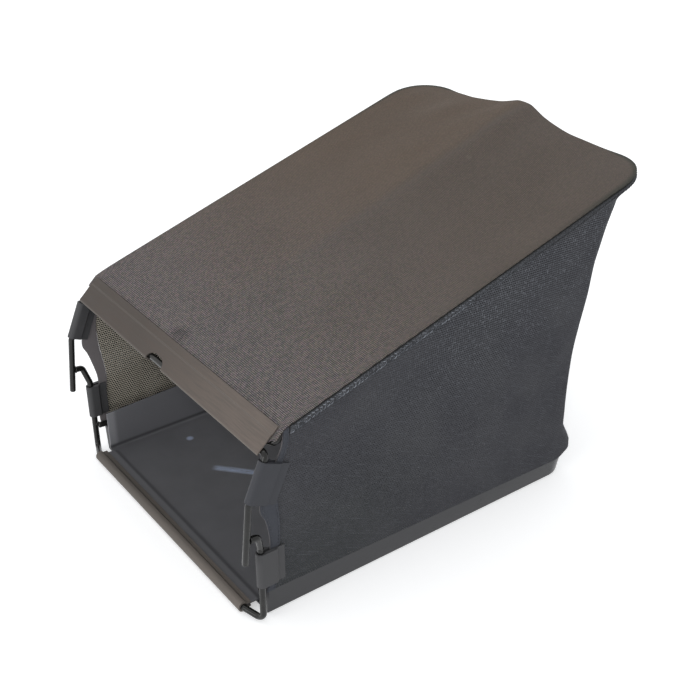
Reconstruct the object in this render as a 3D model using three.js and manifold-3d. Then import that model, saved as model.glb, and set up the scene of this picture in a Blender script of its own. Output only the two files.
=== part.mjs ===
// Rear grass collection bag of a walk-behind mower: a welded wire frame, a woven top, mesh walls and
// a moulded base pan, held together by clip-on plastic trims.
// Millimetres. X runs across the mouth, Y from the mouth to the rear, Z up from the ground.
import * as THREE from 'three';
import { mergeVertices } from 'three/addons/utils/BufferGeometryUtils.js';
import Module from 'manifold-3d';

const wasm = await Module();
wasm.setup();

// Stock sizes
const ROD = 8; // wire of the frame
const CLOTH = 1.6; // woven top and mesh walls
const HEM_CLOTH = 2.6; // folded front hem
const TAPE_CLOTH = 1.2; // binding tape of the top seam
const GAP = 0.3; // air between pieces that touch
const ROD_SIDES = 10;
const BEND_STEPS = 5; // facets in each bend of the wire

// Overall width, over the top seam of the cloth; the wires, trims and pan follow it
const BODY_HALF = 221;

// Front hoop: the cross bar in the top trim, two leaning legs and two hanging pins
const LEG_INSET = 2.5;
const LEG_X = BODY_HALF - LEG_INSET;
const HOOP_BEND = 6.5;
const KNEE_Y = -15.8;
const KNEE_Z = 175.8;
const PIN_END_Y = -23.3;
const PIN_END_Z = 101;
const PIN_NOSE = 2.2; // length of the domed pin end

// Top trim: a flat strip that leans back over both cross bars
const TRIM_END_INSET = 5; // the strip ends where the hoop bends down
const TRIM_HALF = LEG_X - TRIM_END_INSET;
const TRIM_EDGE_Z = 232; // lower front edge of the strip
const TRIM_TILT = THREE.MathUtils.degToRad(43.6);
const TRIM_BODY = 26.5;
const TRIM_FLANGE = 11.2;
const TRIM_WALL = 1.8;
const TRIM_STEP = 1; // drop from the body to the sewn flange
const TRIM_LIP = 12.6; // depth of the hooked lower edge
const TRIM_HOOK = 9; // return of the hook below the cross bar
const TRIM_END_RELIEF = 11; // hook cut back where the hoop bends down
const NOTCH_X = -15;
const NOTCH_HALF = 18;
const NOTCH_HEIGHT = 13;
const UPPER_BAR_AT = 18; // second cross bar, measured up the strip
const UPPER_BAR_DEEP = 11; // and below its face

// Cloth body
const RAIL_SLOPE = 0.3098; // rise of the side rails per millimetre
const RAIL_ZERO_Z = 248.1; // height of the sloping top carried forward to the mouth
const LEVEL_FROM_Y = 500; // the rails start to flatten here
const LEVEL_RUN = 91;
const REAR_Y = 574;
const REAR_CORNER = 58;
const HANDLE_RISE = 27.5; // carrying hump of the rear cross wire
const HANDLE_HALF = 15;
const HANDLE_SPAN = BODY_HALF - REAR_CORNER; // the hump runs out where the corners begin
const HANDLE_POWER = 1.6;
const RIDGE_POWER = 1.5;
const REAR_DIP = 18; // the cross wire runs forward beside the handle
const REAR_DIP_X = 90;
const REAR_DIP_MIDDLE = 9;
const PULL_IN = 34; // cloth drawn in below the rear top corners
const PULL_SIDE = 8;
const STAY_X = 90;
const STAY_SKEW = 1; // the upper wire crosses the stay's end at a slant

// Riser hoop: from a weld on each pin down to the bottom cross bar
const RISER_INSET = 5.5;
const RISER_X = LEG_X - RISER_INSET;
const RISER_Y = -0.4;
const WELD_Z = 131; // height of the stub that joins it to the pin
const STUB_LENGTH = 9.5;
const STUB_BEND = 5;
const RISER_TOP_Z = 108;
const BOTTOM_BAR_Y = -10;
const BOTTOM_BAR_Z = 8;
const BOTTOM_CORNER_Z = 4.2;
const BOTTOM_BEND = 9;
const BOTTOM_TRIM_INSET = 28; // bare wire beyond each end of the bottom trim
const BOTTOM_TRIM_HALF = RISER_X - BOTTOM_TRIM_INSET;
const BOTTOM_TRIM_WALL = 2.5;
const BOTTOM_JAW = 10;

// Side clips: a sleeve on the wire, a web, and two plates that hold the front hem
const CLIP_WALL = 1.8;
const UPPER_CLIP_LENGTH = 50;
const UPPER_CLIP_PLATE = 33;
const UPPER_CLIP_WEB = 20;
const LOWER_CLIP_TOP = 102;
const LOWER_CLIP_LENGTH = 47;
const LOWER_CLIP_PLATE = 29;
const LOWER_CLIP_WEB = 18;
const CLIP_INNER_PLATE = 21;

// Base pan
const PAN_FRONT_Y = 11;
const PAN_REAR_Y = 490;
const PAN_INSET = 9; // the riser hoop stands outside the foot of the pan
const PAN_HALF = RISER_X - PAN_INSET;
const PAN_CORNER = 31;
const PAN_LEDGE_FRONT_Z = 38;
const PAN_LEDGE_REAR_Z = 27;
const PAN_LEDGE_OUT = 4; // ledge over the foot
const PAN_LEDGE_WIDTH = 8.8;
const PAN_TOP_FRONT_Z = 60;
const PAN_TOP_REAR_Z = 82;
const PAN_WALL = 2.2;
const PAN_FLOOR = 3;
const PAN_DRAFT = 1.2;
const LIP_HALF = BOTTOM_TRIM_HALF - 1;
const LIP_THICK = 2.2;

// Base hoop, outside the upper wall of the pan
const HOOP_REAR_Z = 39.5;
const HOOP_REAR_BEND = 12;

const ROD_R = ROD / 2;
const SEAT = ROD_R + GAP; // wire centre to a face that it lies on

// Basic helpers
const point = (x, y, z) => new THREE.Vector3(x, y, z);
const mix = THREE.MathUtils.lerp;
const smooth = THREE.MathUtils.smoothstep;

/** Merges shared vertices and turns the faces outwards. */
function closed(geometry) {
  const bare = geometry.clone();
  bare.deleteAttribute('normal');
  bare.deleteAttribute('uv');
  const merged = mergeVertices(bare, 1e-4);
  const p = merged.getAttribute('position');
  const index = merged.index.array;
  const [a, b, c] = [point(), point(), point()];
  let volume = 0;
  for (let i = 0; i < index.length; i += 3) {
    a.fromBufferAttribute(p, index[i]);
    b.fromBufferAttribute(p, index[i + 1]);
    c.fromBufferAttribute(p, index[i + 2]);
    volume += a.dot(b.cross(c));
  }
  if (volume < 0) {
    for (let i = 0; i < index.length; i += 3) {
      [index[i], index[i + 1]] = [index[i + 1], index[i]];
    }
  }
  return merged;
}

function toManifold(geometry) {
  const merged = closed(geometry);
  return new wasm.Manifold(new wasm.Mesh({
    numProp: 3,
    vertProperties: new Float32Array(merged.getAttribute('position').array),
    triVerts: new Uint32Array(merged.index.array),
  }));
}

function fromManifold(solid) {
  const mesh = solid.getMesh();
  const geometry = new THREE.BufferGeometry();
  geometry.setAttribute('position', new THREE.BufferAttribute(mesh.vertProperties, 3));
  geometry.setIndex(new THREE.BufferAttribute(mesh.triVerts, 1));
  return geometry;
}

const mirrored = (geometry) => closed(geometry.clone().scale(-1, 1, 1));

/** A wire's centre line: sections stand only at the stations, so straight runs stay plain. */
class WirePath extends THREE.Curve {
  constructor(stations) {
    super();
    this.stations = stations;
  }

  getPointAt(u, target = point()) {
    const last = this.stations.length - 1;
    const at = Math.min(Math.floor(u * last + 1e-6), last - 1);
    return target.lerpVectors(this.stations[at], this.stations[at + 1], u * last - at);
  }

  getPoint(u, target) {
    return this.getPointAt(u, target);
  }

  getTangentAt(u, target = point()) {
    const last = this.stations.length - 1;
    const at = Math.round(u * last);
    const here = this.stations[at];
    const before = this.stations[Math.max(at - 1, 0)];
    const after = this.stations[Math.min(at + 1, last)];
    const into = at > 0 ? here.clone().sub(before).normalize() : point(0, 0, 0);
    const out = at < last ? after.clone().sub(here).normalize() : point(0, 0, 0);
    return target.copy(into.add(out)).normalize();
  }
}

/** Stations of a polyline whose corners are rounded by true arcs, one radius for each corner. */
function bent(corners, radii) {
  const stations = [corners[0]];
  for (let i = 1; i < corners.length - 1; i += 1) {
    const corner = corners[i];
    const radius = radii[i - 1];
    const back = corners[i - 1].clone().sub(corner).normalize();
    const ahead = corners[i + 1].clone().sub(corner).normalize();
    const half = back.angleTo(ahead) / 2;
    const reach = radius / Math.tan(half);
    const centre = corner.clone().addScaledVector(back.clone().add(ahead).normalize(), radius / Math.sin(half));
    const from = corner.clone().addScaledVector(back, reach).sub(centre);
    const to = corner.clone().addScaledVector(ahead, reach).sub(centre);
    const sweep = from.angleTo(to);
    const steps = Math.max(2, Math.ceil(BEND_STEPS * sweep / (Math.PI / 2)));
    for (let k = 0; k <= steps; k += 1) {
      const share = k / steps;
      const arm = from.clone().multiplyScalar(Math.sin((1 - share) * sweep) / Math.sin(sweep));
      arm.addScaledVector(to, Math.sin(share * sweep) / Math.sin(sweep));
      stations.push(arm.add(centre));
    }
  }
  stations.push(corners[corners.length - 1]);
  return stations;
}

function rod(stations) {
  const section = new THREE.Shape().absarc(0, 0, ROD_R, 0, 2 * Math.PI);
  return closed(new THREE.ExtrudeGeometry(section, {
    curveSegments: ROD_SIDES / 2,
    steps: stations.length - 1,
    extrudePath: new WirePath(stations),
  }));
}

/** Left half, middle and right half of a wire that is the same on both sides. */
function bothSides(rightHalf) {
  const left = rightHalf.map((p) => point(-p.x, p.y, p.z)).reverse();
  return [...rightHalf, ...left];
}

/** Closed sheet over a grid of outer points, rows[j][i], with its thickness on the inner side. */
function sheet(rows, thickness) {
  const height = rows.length;
  const width = rows[0].length;
  const inner = rows.map((row, j) => row.map((p, i) => {
    const along = rows[j][Math.min(i + 1, width - 1)].clone().sub(rows[j][Math.max(i - 1, 0)]);
    const up = rows[Math.min(j + 1, height - 1)][i].clone().sub(rows[Math.max(j - 1, 0)][i]);
    return p.clone().addScaledVector(along.cross(up).normalize(), -thickness);
  }));
  const positions = [...rows.flat(), ...inner.flat()].flatMap((p) => [p.x, p.y, p.z]);
  const faces = [];
  const layer = width * height;
  const quad = (a, b, c, d) => faces.push(a, b, c, a, c, d);
  for (let j = 0; j < height - 1; j += 1) {
    for (let i = 0; i < width - 1; i += 1) {
      const a = j * width + i;
      quad(a, a + 1, a + 1 + width, a + width);
      quad(a + layer, a + width + layer, a + 1 + width + layer, a + 1 + layer);
    }
  }
  for (let i = 0; i < width - 1; i += 1) {
    const top = (height - 1) * width + i;
    quad(i, i + layer, i + 1 + layer, i + 1);
    quad(top, top + 1, top + 1 + layer, top + layer);
  }
  for (let j = 0; j < height - 1; j += 1) {
    const start = j * width;
    const end = start + width - 1;
    quad(start, start + width, start + width + layer, start + layer);
    quad(end, end + layer, end + width + layer, end + width);
  }
  const geometry = new THREE.BufferGeometry();
  geometry.setAttribute('position', new THREE.Float32BufferAttribute(positions, 3));
  geometry.setIndex(faces);
  return closed(geometry);
}

/** Solid through a stack of convex outlines with equal point counts. */
function loft(outlines) {
  const count = outlines[0].length;
  const faces = [];
  for (let level = 0; level < outlines.length - 1; level += 1) {
    for (let i = 0; i < count; i += 1) {
      const a = level * count + i;
      const b = level * count + (i + 1) % count;
      faces.push(a, b, b + count, a, b + count, a + count);
    }
  }
  const top = (outlines.length - 1) * count;
  for (let i = 1; i < count - 1; i += 1) {
    faces.push(0, i + 1, i);
    faces.push(top, top + i, top + i + 1);
  }
  const geometry = new THREE.BufferGeometry();
  const positions = outlines.flat().flatMap((p) => [p.x, p.y, p.z]);
  geometry.setAttribute('position', new THREE.Float32BufferAttribute(positions, 3));
  geometry.setIndex(faces);
  return closed(geometry);
}

/** Extrudes a shape drawn in (Y, Z) along X, centred on the bag. */
function alongX(shape, half, curveSegments = 6) {
  const geometry = new THREE.ExtrudeGeometry(shape, { depth: 2 * half, bevelEnabled: false, curveSegments });
  const turn = new THREE.Matrix4().makeBasis(point(0, 1, 0), point(0, 0, 1), point(1, 0, 0));
  return geometry.applyMatrix4(turn).translate(-half, 0, 0);
}

const box = (w, d, h, x, y, z) => new THREE.BoxGeometry(w, d, h).translate(x, y, z);

// The leaning top trim has its own axes: t up the strip from its front edge, n out of its face
const trimY = (t, n) => t * Math.cos(TRIM_TILT) - n * Math.sin(TRIM_TILT);
const trimZ = (t, n) => TRIM_EDGE_Z + t * Math.sin(TRIM_TILT) + n * Math.cos(TRIM_TILT);
const TRIM_BAR_T = TRIM_WALL + SEAT;
const TRIM_BAR_N = -(TRIM_WALL + SEAT);
const FLANGE_UNDER = -(TRIM_STEP + TRIM_WALL);
const CLOTH_FACE_N = FLANGE_UNDER - GAP;
const CLOTH_OFF_BAR = 1.4;
const CLOTH_FRONT_T = TRIM_BAR_T + ROD_R + CLOTH_OFF_BAR;
const HOOP_Y = trimY(TRIM_BAR_T, TRIM_BAR_N);
const HOOP_Z = trimZ(TRIM_BAR_T, TRIM_BAR_N);
const UPPER_BAR_Y = trimY(UPPER_BAR_AT, -UPPER_BAR_DEEP);
const UPPER_BAR_Z = trimZ(UPPER_BAR_AT, -UPPER_BAR_DEEP);
const FLANGE_END_T = TRIM_BODY + TRIM_FLANGE;
const FLANGE_END_Y = trimY(FLANGE_END_T, CLOTH_FACE_N);
const FLANGE_END_Z = trimZ(FLANGE_END_T, CLOTH_FACE_N);

// Top surface of the cloth
function railLine(y) {
  const slope = RAIL_ZERO_Z + RAIL_SLOPE * y;
  const past = Math.max(0, y - LEVEL_FROM_Y);
  return slope - RAIL_SLOPE * past * past / (2 * LEVEL_RUN);
}

function handleRise(x) {
  const share = Math.min(1, Math.max(0, Math.abs(x) - HANDLE_HALF) / (HANDLE_SPAN - HANDLE_HALF));
  return HANDLE_RISE * (1 - share) ** HANDLE_POWER;
}

function rearDip(x) {
  const from = Math.abs(x);
  if (from > HANDLE_SPAN) return 0;
  if (from < REAR_DIP_X) {
    const share = (1 - Math.cos(Math.PI * from / REAR_DIP_X)) / 2;
    return mix(REAR_DIP_MIDDLE, REAR_DIP, share);
  }
  const share = Math.min(1, (from - REAR_DIP_X) / (HANDLE_SPAN - REAR_DIP_X));
  return REAR_DIP * (1 + Math.cos(Math.PI * share)) / 2;
}

const FLANGE_STEP = railLine(FLANGE_END_Y) - FLANGE_END_Z;
const STEP_FADE = 10;

function topZ(x, y) {
  if (y < FLANGE_END_Y) {
    return FLANGE_END_Z - (FLANGE_END_Y - y) * Math.tan(TRIM_TILT);
  }
  const share = (y - FLANGE_END_Y) / (REAR_Y - FLANGE_END_Y);
  const ridge = handleRise(x) * Math.min(1, share) ** RIDGE_POWER;
  return railLine(y) + ridge - FLANGE_STEP * Math.exp(-(y - FLANGE_END_Y) / STEP_FADE);
}

// Plan outlines of the body: a straight side, a rounded rear corner and a straight rear.
// Share 0 to SIDE_SHARE is the side, then half the corner up to 1; the rear runs from 0 to 1 across.
const SIDE_SHARE = 0.85;
const CORNER_SHARE = 0.12;
const TAPE_OUT = TAPE_CLOTH + GAP;

function cornerPoint(outline, degrees) {
  const angle = THREE.MathUtils.degToRad(degrees);
  const x = outline.half - outline.radius * (1 - Math.cos(angle));
  const y = outline.rear - outline.radius * (1 - Math.sin(angle));
  return [x, y];
}

function sidePoint(outline, front, share) {
  if (share > SIDE_SHARE) {
    return cornerPoint(outline, 45 * (share - SIDE_SHARE) / (1 - SIDE_SHARE));
  }
  const end = outline.rear - outline.radius;
  const y = mix(front, end, share / SIDE_SHARE);
  return [outline.half, y];
}

function rearPoint(outline, share) {
  const near = Math.min(share, 1 - share);
  const sign = share < 0.5 ? 1 : -1;
  if (near < CORNER_SHARE) {
    const [x, y] = cornerPoint(outline, 45 + 45 * near / CORNER_SHARE);
    return [sign * x, y];
  }
  const flat = outline.half - outline.radius;
  return [flat * (1 - 2 * (share - CORNER_SHARE) / (1 - 2 * CORNER_SHARE)), outline.rear];
}

const topOutline = {
  half: BODY_HALF - TAPE_OUT,
  rear: REAR_Y - TAPE_OUT,
  radius: REAR_CORNER - TAPE_OUT,
};

// Base pan levels
const ledgeZ = (y) => {
  const share = THREE.MathUtils.clamp((y - PAN_FRONT_Y) / (PAN_REAR_Y - PAN_FRONT_Y), 0, 1);
  return mix(PAN_LEDGE_FRONT_Z, PAN_LEDGE_REAR_Z, share);
};
const panTopZ = (y) => {
  const share = THREE.MathUtils.clamp((y - PAN_FRONT_Y) / (PAN_REAR_Y - PAN_FRONT_Y), 0, 1);
  return mix(PAN_TOP_FRONT_Z, PAN_TOP_REAR_Z, share);
};
const PAN_LEDGE_HALF = PAN_HALF + PAN_LEDGE_OUT;
const PAN_UPPER_HALF = PAN_LEDGE_HALF - PAN_LEDGE_WIDTH;
const BASE_WIRE_HALF = PAN_UPPER_HALF + SEAT;
const BASE_WIRE_REAR = PAN_REAR_Y + PAN_UPPER_HALF - PAN_HALF + SEAT;
const BASE_WIRE_FRONT_Z = PAN_LEDGE_FRONT_Z + SEAT;
const WRAP = SEAT + CLOTH; // wire centre to the outer face of the cloth round it
const baseWireZ = (y) => mix(BASE_WIRE_FRONT_Z, HOOP_REAR_Z, (y - PAN_FRONT_Y) / (BASE_WIRE_REAR - PAN_FRONT_Y));

const wrapOutline = {
  half: BASE_WIRE_HALF + WRAP,
  rear: BASE_WIRE_REAR + WRAP,
  radius: HOOP_REAR_BEND + WRAP,
};
const ledgeOutline = { ...wrapOutline, radius: PAN_CORNER + PAN_LEDGE_OUT };

// Wall cloth between the pan and the top seam
const RAIL_INSET = TAPE_OUT + CLOTH + SEAT;
const SLOPE_SPARE = 1.1; // upright room against the room square to the slope
const RAIL_DROP = (CLOTH + SEAT) * SLOPE_SPARE;
const PULL_FROM = RAIL_DROP + ROD_R; // the cloth turns inwards below the wire
const PULL_FULL = 40;
const FOOT_PULL = 32;
const PULL_X_FROM = STAY_X + 10; // the draw fades out towards the stays
const PULL_X_FULL = BODY_HALF - 16;
const SLACK_FROM = 0.42; // share of the height below which the draw eases off
const SLACK_RATE = 0.75;

function pullShare(depth, height) {
  const turned = THREE.MathUtils.clamp((depth - PULL_FROM) / (PULL_FULL - PULL_FROM), 0, 1);
  const upper = Math.sin(turned * Math.PI / 2);
  const lower = smooth(height - depth, 0, FOOT_PULL);
  const slack = 1 - SLACK_RATE * Math.max(0, depth / height - SLACK_FROM);
  return upper * lower * slack;
}

const KNEE_BLEND = 24; // the wall reaches the leg's line this far below the knee
const SEAM_BLEND_BELOW = 10; // and the seam's line about the lower edge of the trim
const SEAM_BLEND_ABOVE = 4;

/** Front line of the wall: it lies in the slots of both clips. */
function frontLineX(z) {
  const foot = BASE_WIRE_HALF + WRAP;
  const lower = RISER_X + HEM_CLOTH / 2 - (HEM_CLOTH - CLOTH);
  const upper = LEG_X + HEM_CLOTH / 2 - (HEM_CLOTH - CLOTH);
  const seam = BODY_HALF - TAPE_OUT;
  const first = mix(foot, lower, smooth(z, ledgeZ(0), LOWER_CLIP_TOP - LOWER_CLIP_LENGTH));
  const second = mix(first, upper, smooth(z, LOWER_CLIP_TOP, KNEE_Z - KNEE_BLEND));
  return mix(second, seam, smooth(z, TRIM_EDGE_Z - SEAM_BLEND_BELOW, TRIM_EDGE_Z + SEAM_BLEND_ABOVE));
}

const TAPE_START_Y = 38; // the binding tape starts behind the trim
const FRONT_BLEND_FROM = TAPE_START_Y;
const FRONT_BLEND_TO = 110;
const UPRIGHT_SPARE = 1.35; // upright room against the room square to the sloping top
const TOP_DROP = (CLOTH + GAP) * UPRIGHT_SPARE;
const TOP_DROP_FRONT = (CLOTH + GAP) / Math.cos(TRIM_TILT);
const WIRE_UNDER = 3;
const WIRE_OVER = 1;
const WIRE_UNDER_ROW = 0.7;

/** A point of the wall's outer face. row runs from the pan (0) round the base wire (1) to the top (2). */
function wallPoint(plan, side, row) {
  const [wrapX, wrapY] = plan(wrapOutline);
  const wireZ = baseWireZ(wrapY);
  if (row <= 1) {
    const [footX, footY] = plan(ledgeOutline);
    const up = Math.min(1, row / WIRE_UNDER_ROW);
    const lowZ = mix(ledgeZ(footY) + GAP, wireZ - WIRE_UNDER, up);
    const z = mix(lowZ, wireZ + WIRE_OVER, Math.max(0, (row - WIRE_UNDER_ROW) / (1 - WIRE_UNDER_ROW)));
    return point(mix(footX, wrapX, up), mix(footY, wrapY, up), z);
  }
  const [topX, topStraightY] = plan(topOutline);
  const topY = topStraightY - rearDip(topX);
  const seamZ = topZ(topX, topY) - mix(TOP_DROP_FRONT, TOP_DROP, smooth(topY, FLANGE_END_Y, FRONT_BLEND_FROM));
  const height = seamZ - wireZ - WIRE_OVER;
  const depth = (2 - row) * height;
  const z = seamZ - depth;
  const pull = pullShare(depth, height);
  const lean = Math.max(0, (depth - PULL_FROM) / (height - PULL_FROM));
  const near = side === null ? smooth(Math.abs(topX), PULL_X_FROM, PULL_X_FULL) : side ** 3;
  const y = mix(topY, wrapY, lean) - PULL_IN * pull * near;
  const x = mix(topX, wrapX, lean) - Math.sign(topX) * PULL_SIDE * pull * near;
  if (side === null) {
    return point(x, y, z);
  }
  return point(mix(frontLineX(z), x, smooth(y, FRONT_BLEND_FROM, FRONT_BLEND_TO)), y, z);
}

const sideWall = (front, share, row) => wallPoint((outline) => sidePoint(outline, front, share), share, row);
const rearWall = (share, row) => wallPoint((outline) => rearPoint(outline, share), null, row);

const spread = (from, to, count) => Array.from({ length: count + 1 }, (_, i) => mix(from, to, i / count));

// Front edge and back edge of the hem: Z as a share of TRIM_EDGE_Z, Y as a share of HEM_REACH
const HEM_REACH = 36;
const edgeLine = (pairs) => {
  const curve = new THREE.SplineCurve(pairs.map(([z, y]) => new THREE.Vector2(z * TRIM_EDGE_Z, y * HEM_REACH)));
  const samples = curve.getPoints(80);
  return (z) => {
    const at = samples.findIndex((s) => s.x >= z);
    if (at <= 0) return at === 0 ? samples[0].y : samples[samples.length - 1].y;
    const [a, b] = [samples[at - 1], samples[at]];
    return mix(a.y, b.y, (z - a.x) / (b.x - a.x));
  };
};
const hemFrontY = edgeLine([
  [0.1552, 0.1944], [0.2586, 0.2083], [0.4138, 0.3056], [0.4828, 0.3333], [0.5862, 0.2361],
  [0.6767, 0.1111], [0.7672, -0.0556], [0.8534, 0.0694], [0.9224, 0.4167], [0.9741, 0.7222],
  [1.0388, 0.8194], [1.1293, 0.8333],
]);
const hemBackY = edgeLine([
  [0.1552, 0.5278], [0.3103, 0.5556], [0.4698, 0.6806], [0.5948, 0.6389], [0.7198, 0.5694],
  [0.8448, 0.6111], [0.9138, 0.8056], [0.9741, 0.9861], [1.0388, 1.0278], [1.1293, 1.0333],
]);

// Columns that all the pieces round the rear share, so that they nest
const SIDE_COLUMNS = 12;
const CORNER_STEPS = 3; // in each half of a rear corner
const REAR_COLUMNS = 24;

const sideShares = (end) => [
  ...spread(0, SIDE_SHARE, SIDE_COLUMNS),
  ...spread(SIDE_SHARE, end, CORNER_STEPS).slice(1),
];

const rearShares = (start) => [
  ...spread(start, CORNER_SHARE, CORNER_STEPS),
  ...spread(CORNER_SHARE, 1 - CORNER_SHARE, REAR_COLUMNS).slice(1),
  ...spread(1 - CORNER_SHARE, 1 - start, CORNER_STEPS).slice(1),
];

const HEM_MIDDLE_Y = 0.61 * HEM_REACH;
const CORNER_SEAM = 0.0026; // half of the gap between side and rear cloth, as a share
const HEM_ROWS = [0, ...spread(1, 2, 22)];
const WALL_ROWS = [0, 0.35, 0.7, 1, 1.03, 1.07, 1.12, 1.2, 1.35, 1.5, 1.65, 1.78, 1.86, 1.91, 1.945, 1.974, 2];

const heightAt = (y, row) => sideWall(y, 0, row).z;

/** Y of the line where the hem ends and the mesh starts, straight between the rows of the mesh. */
function hemLineY(row) {
  const next = Math.max(1, WALL_ROWS.findIndex((r) => r >= row));
  const [a, b] = [WALL_ROWS[next - 1], WALL_ROWS[next]];
  const [low, high] = [a, b].map((r) => hemBackY(heightAt(HEM_MIDDLE_Y, r)));
  return mix(low, high, (row - a) / (b - a));
}

const HEM_SEAM = 2.4 * GAP; // the rows of the mesh are coarser than the hem's

function frontHem() {
  const rows = HEM_ROWS.map((row) => {
    const frontY = hemFrontY(heightAt(HEM_MIDDLE_Y, row));
    return spread(frontY, hemLineY(row) - HEM_SEAM, 2).map((y) => {
      const z = heightAt(y, row);
      return point(frontLineX(z) + HEM_CLOTH - CLOTH, y, z);
    });
  });
  return sheet(rows, HEM_CLOTH);
}

function sideMesh() {
  const shares = [0, 0.02, 0.045, ...sideShares(1 - CORNER_SEAM).slice(1)];
  return sheet(WALL_ROWS.map((row) => shares.map((share) => sideWall(hemLineY(row), share, row))), CLOTH);
}

function rearMesh() {
  const shares = rearShares(CORNER_SEAM);
  return sheet(WALL_ROWS.map((row) => shares.map((share) => rearWall(share, row))), CLOTH);
}

const TAPE_DEPTH = 10;

function seamTape() {
  const rightSide = sideShares(1);
  const rear = rearShares(0).slice(1, -1);
  const column = (wall) => {
    const top = wall(2);
    const share = TAPE_DEPTH / (top.z - wall(1).z);
    return [wall(2 - share), wall(2 - share / 2), top];
  };
  const columns = [
    ...rightSide.map((s) => column((row) => sideWall(TAPE_START_Y, s, row))),
    ...rear.map((s) => column((row) => rearWall(s, row))),
    ...rightSide.map((s) => column((row) => {
      const p = sideWall(TAPE_START_Y, s, row);
      return point(-p.x, p.y, p.z);
    })).reverse(),
  ];
  const rows = [0, 1, 2].map((level) => columns.map((c) => c[level]));
  const lifted = rows.map((row, j) => row.map((p, i) => {
    const along = rows[j][Math.min(i + 1, row.length - 1)].clone().sub(rows[j][Math.max(i - 1, 0)]);
    const out = point(along.y, -along.x, 0).normalize();
    return p.clone().addScaledVector(out, TAPE_OUT);
  }));
  return sheet(lifted, TAPE_CLOTH);
}

const PANEL_STEP_IN = 6; // the panel's front edge steps back about the end of the trim
const PANEL_STEP_OUT = 4;

function topPanel() {
  const flat = BODY_HALF - REAR_CORNER;
  const turns = spread(0, 90, 2 * CORNER_STEPS).slice(1).map((deg) => THREE.MathUtils.degToRad(deg));
  const arcs = turns.map((angle) => flat + REAR_CORNER * Math.sin(angle));
  const xs = [...arcs.map((x) => -x).reverse(), ...spread(-flat, flat, REAR_COLUMNS), ...arcs];
  const start = (x) => {
    const share = smooth(Math.abs(x), TRIM_HALF - PANEL_STEP_IN, TRIM_HALF + PANEL_STEP_OUT);
    return trimY(mix(CLOTH_FRONT_T, UPPER_BAR_AT + ROD_R, share), CLOTH_FACE_N);
  };
  const rear = (x) => {
    const past = Math.abs(x) - flat;
    if (past <= 0) return REAR_Y - rearDip(x);
    return REAR_Y - REAR_CORNER + Math.sqrt(Math.max(0, REAR_CORNER ** 2 - past ** 2));
  };
  const shares = [0, 0.012, 0.03, 0.06, 0.12, ...spread(0.2, 0.9, 8), 0.95, 1];
  const rows = [
    xs.map((x) => point(x, start(x), topZ(x, start(x)))),
    ...shares.map((share) => xs.map((x) => {
      const y = mix(FLANGE_END_Y, rear(x), share);
      return point(x, y, topZ(x, y));
    })),
  ];
  return sheet(rows, CLOTH);
}

// Wire frame
const legDown = point(0, KNEE_Y - HOOP_Y, KNEE_Z - HOOP_Z).normalize();

function frontHoop() {
  const stations = bent(bothSides([
    point(LEG_X, PIN_END_Y, PIN_END_Z),
    point(LEG_X, KNEE_Y, KNEE_Z),
    point(LEG_X, HOOP_Y, HOOP_Z),
  ]), [HOOP_BEND, HOOP_BEND, HOOP_BEND, HOOP_BEND]);
  const along = point(0, PIN_END_Y - KNEE_Y, PIN_END_Z - KNEE_Z).normalize();
  const profile = [[0, PIN_NOSE], [ROD_R * 0.55, PIN_NOSE * 0.8], [ROD_R * 0.9, PIN_NOSE * 0.35], [ROD_R * 0.98, 0],
    [ROD_R * 0.9, -1], [0, -1]].map(([r, h]) => new THREE.Vector2(r, h));
  const nose = new THREE.LatheGeometry(profile, ROD_SIDES);
  nose.applyQuaternion(new THREE.Quaternion().setFromUnitVectors(point(0, 1, 0), along));
  nose.translate(0, PIN_END_Y, PIN_END_Z);
  let solid = toManifold(rod(stations));
  for (const side of [-1, 1]) {
    solid = solid.add(toManifold(nose.clone().translate(side * LEG_X, 0, 0)));
  }
  return fromManifold(solid);
}

const RAIL_X = BODY_HALF - RAIL_INSET;
const SLANT_SPARE = 0.6; // more room where the wire runs at a slant
const REAR_INSET = RAIL_INSET + SLANT_SPARE;
const REAR_INSET_RUN = 20;
const RAIL_JOIN_Y = 46;
const RAIL_FROM_Y = 120; // the rail is straight from its front bend to here
const RAIL_BEND = 8;
const BUTT_GAP = 0.3;

function upperRailHoop() {
  const barEnd = point(BUTT_GAP, UPPER_BAR_Y, UPPER_BAR_Z);
  const corner = point(RAIL_X, UPPER_BAR_Y, UPPER_BAR_Z);
  const railPoint = (x, y, onX = x) => point(x, y, topZ(onX, y) - RAIL_DROP);
  const radius = REAR_CORNER - RAIL_INSET;
  const front = bent([barEnd, corner, railPoint(RAIL_X, RAIL_JOIN_Y, BODY_HALF)], [RAIL_BEND]);
  const rail = spread(RAIL_FROM_Y, LEVEL_FROM_Y, 3).map((y) => railPoint(RAIL_X, y, BODY_HALF));
  const turn = spread(0, 90, 2 * CORNER_STEPS).map((deg) => {
    const angle = THREE.MathUtils.degToRad(deg);
    const x = RAIL_X - radius * (1 - Math.cos(angle));
    return railPoint(x, REAR_Y - RAIL_INSET - radius * (1 - Math.sin(angle)), BODY_HALF);
  });
  const flat = RAIL_X - radius;
  const cross = spread(flat, 0, REAR_COLUMNS / 2).slice(1).map((x) => {
    const y = REAR_Y - mix(RAIL_INSET, REAR_INSET, Math.min(1, (flat - x) / REAR_INSET_RUN)) - rearDip(x);
    return point(x, y, topZ(x, y) - RAIL_DROP);
  });
  const right = [...front, ...rail, ...turn, ...cross];
  const left = right.slice(0, -1).map((p) => point(-p.x, p.y, p.z)).reverse();
  return rod([...right, ...left]);
}

const BAR_BEND_OFF = 2; // the bottom bar bends this far beyond its trim

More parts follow.
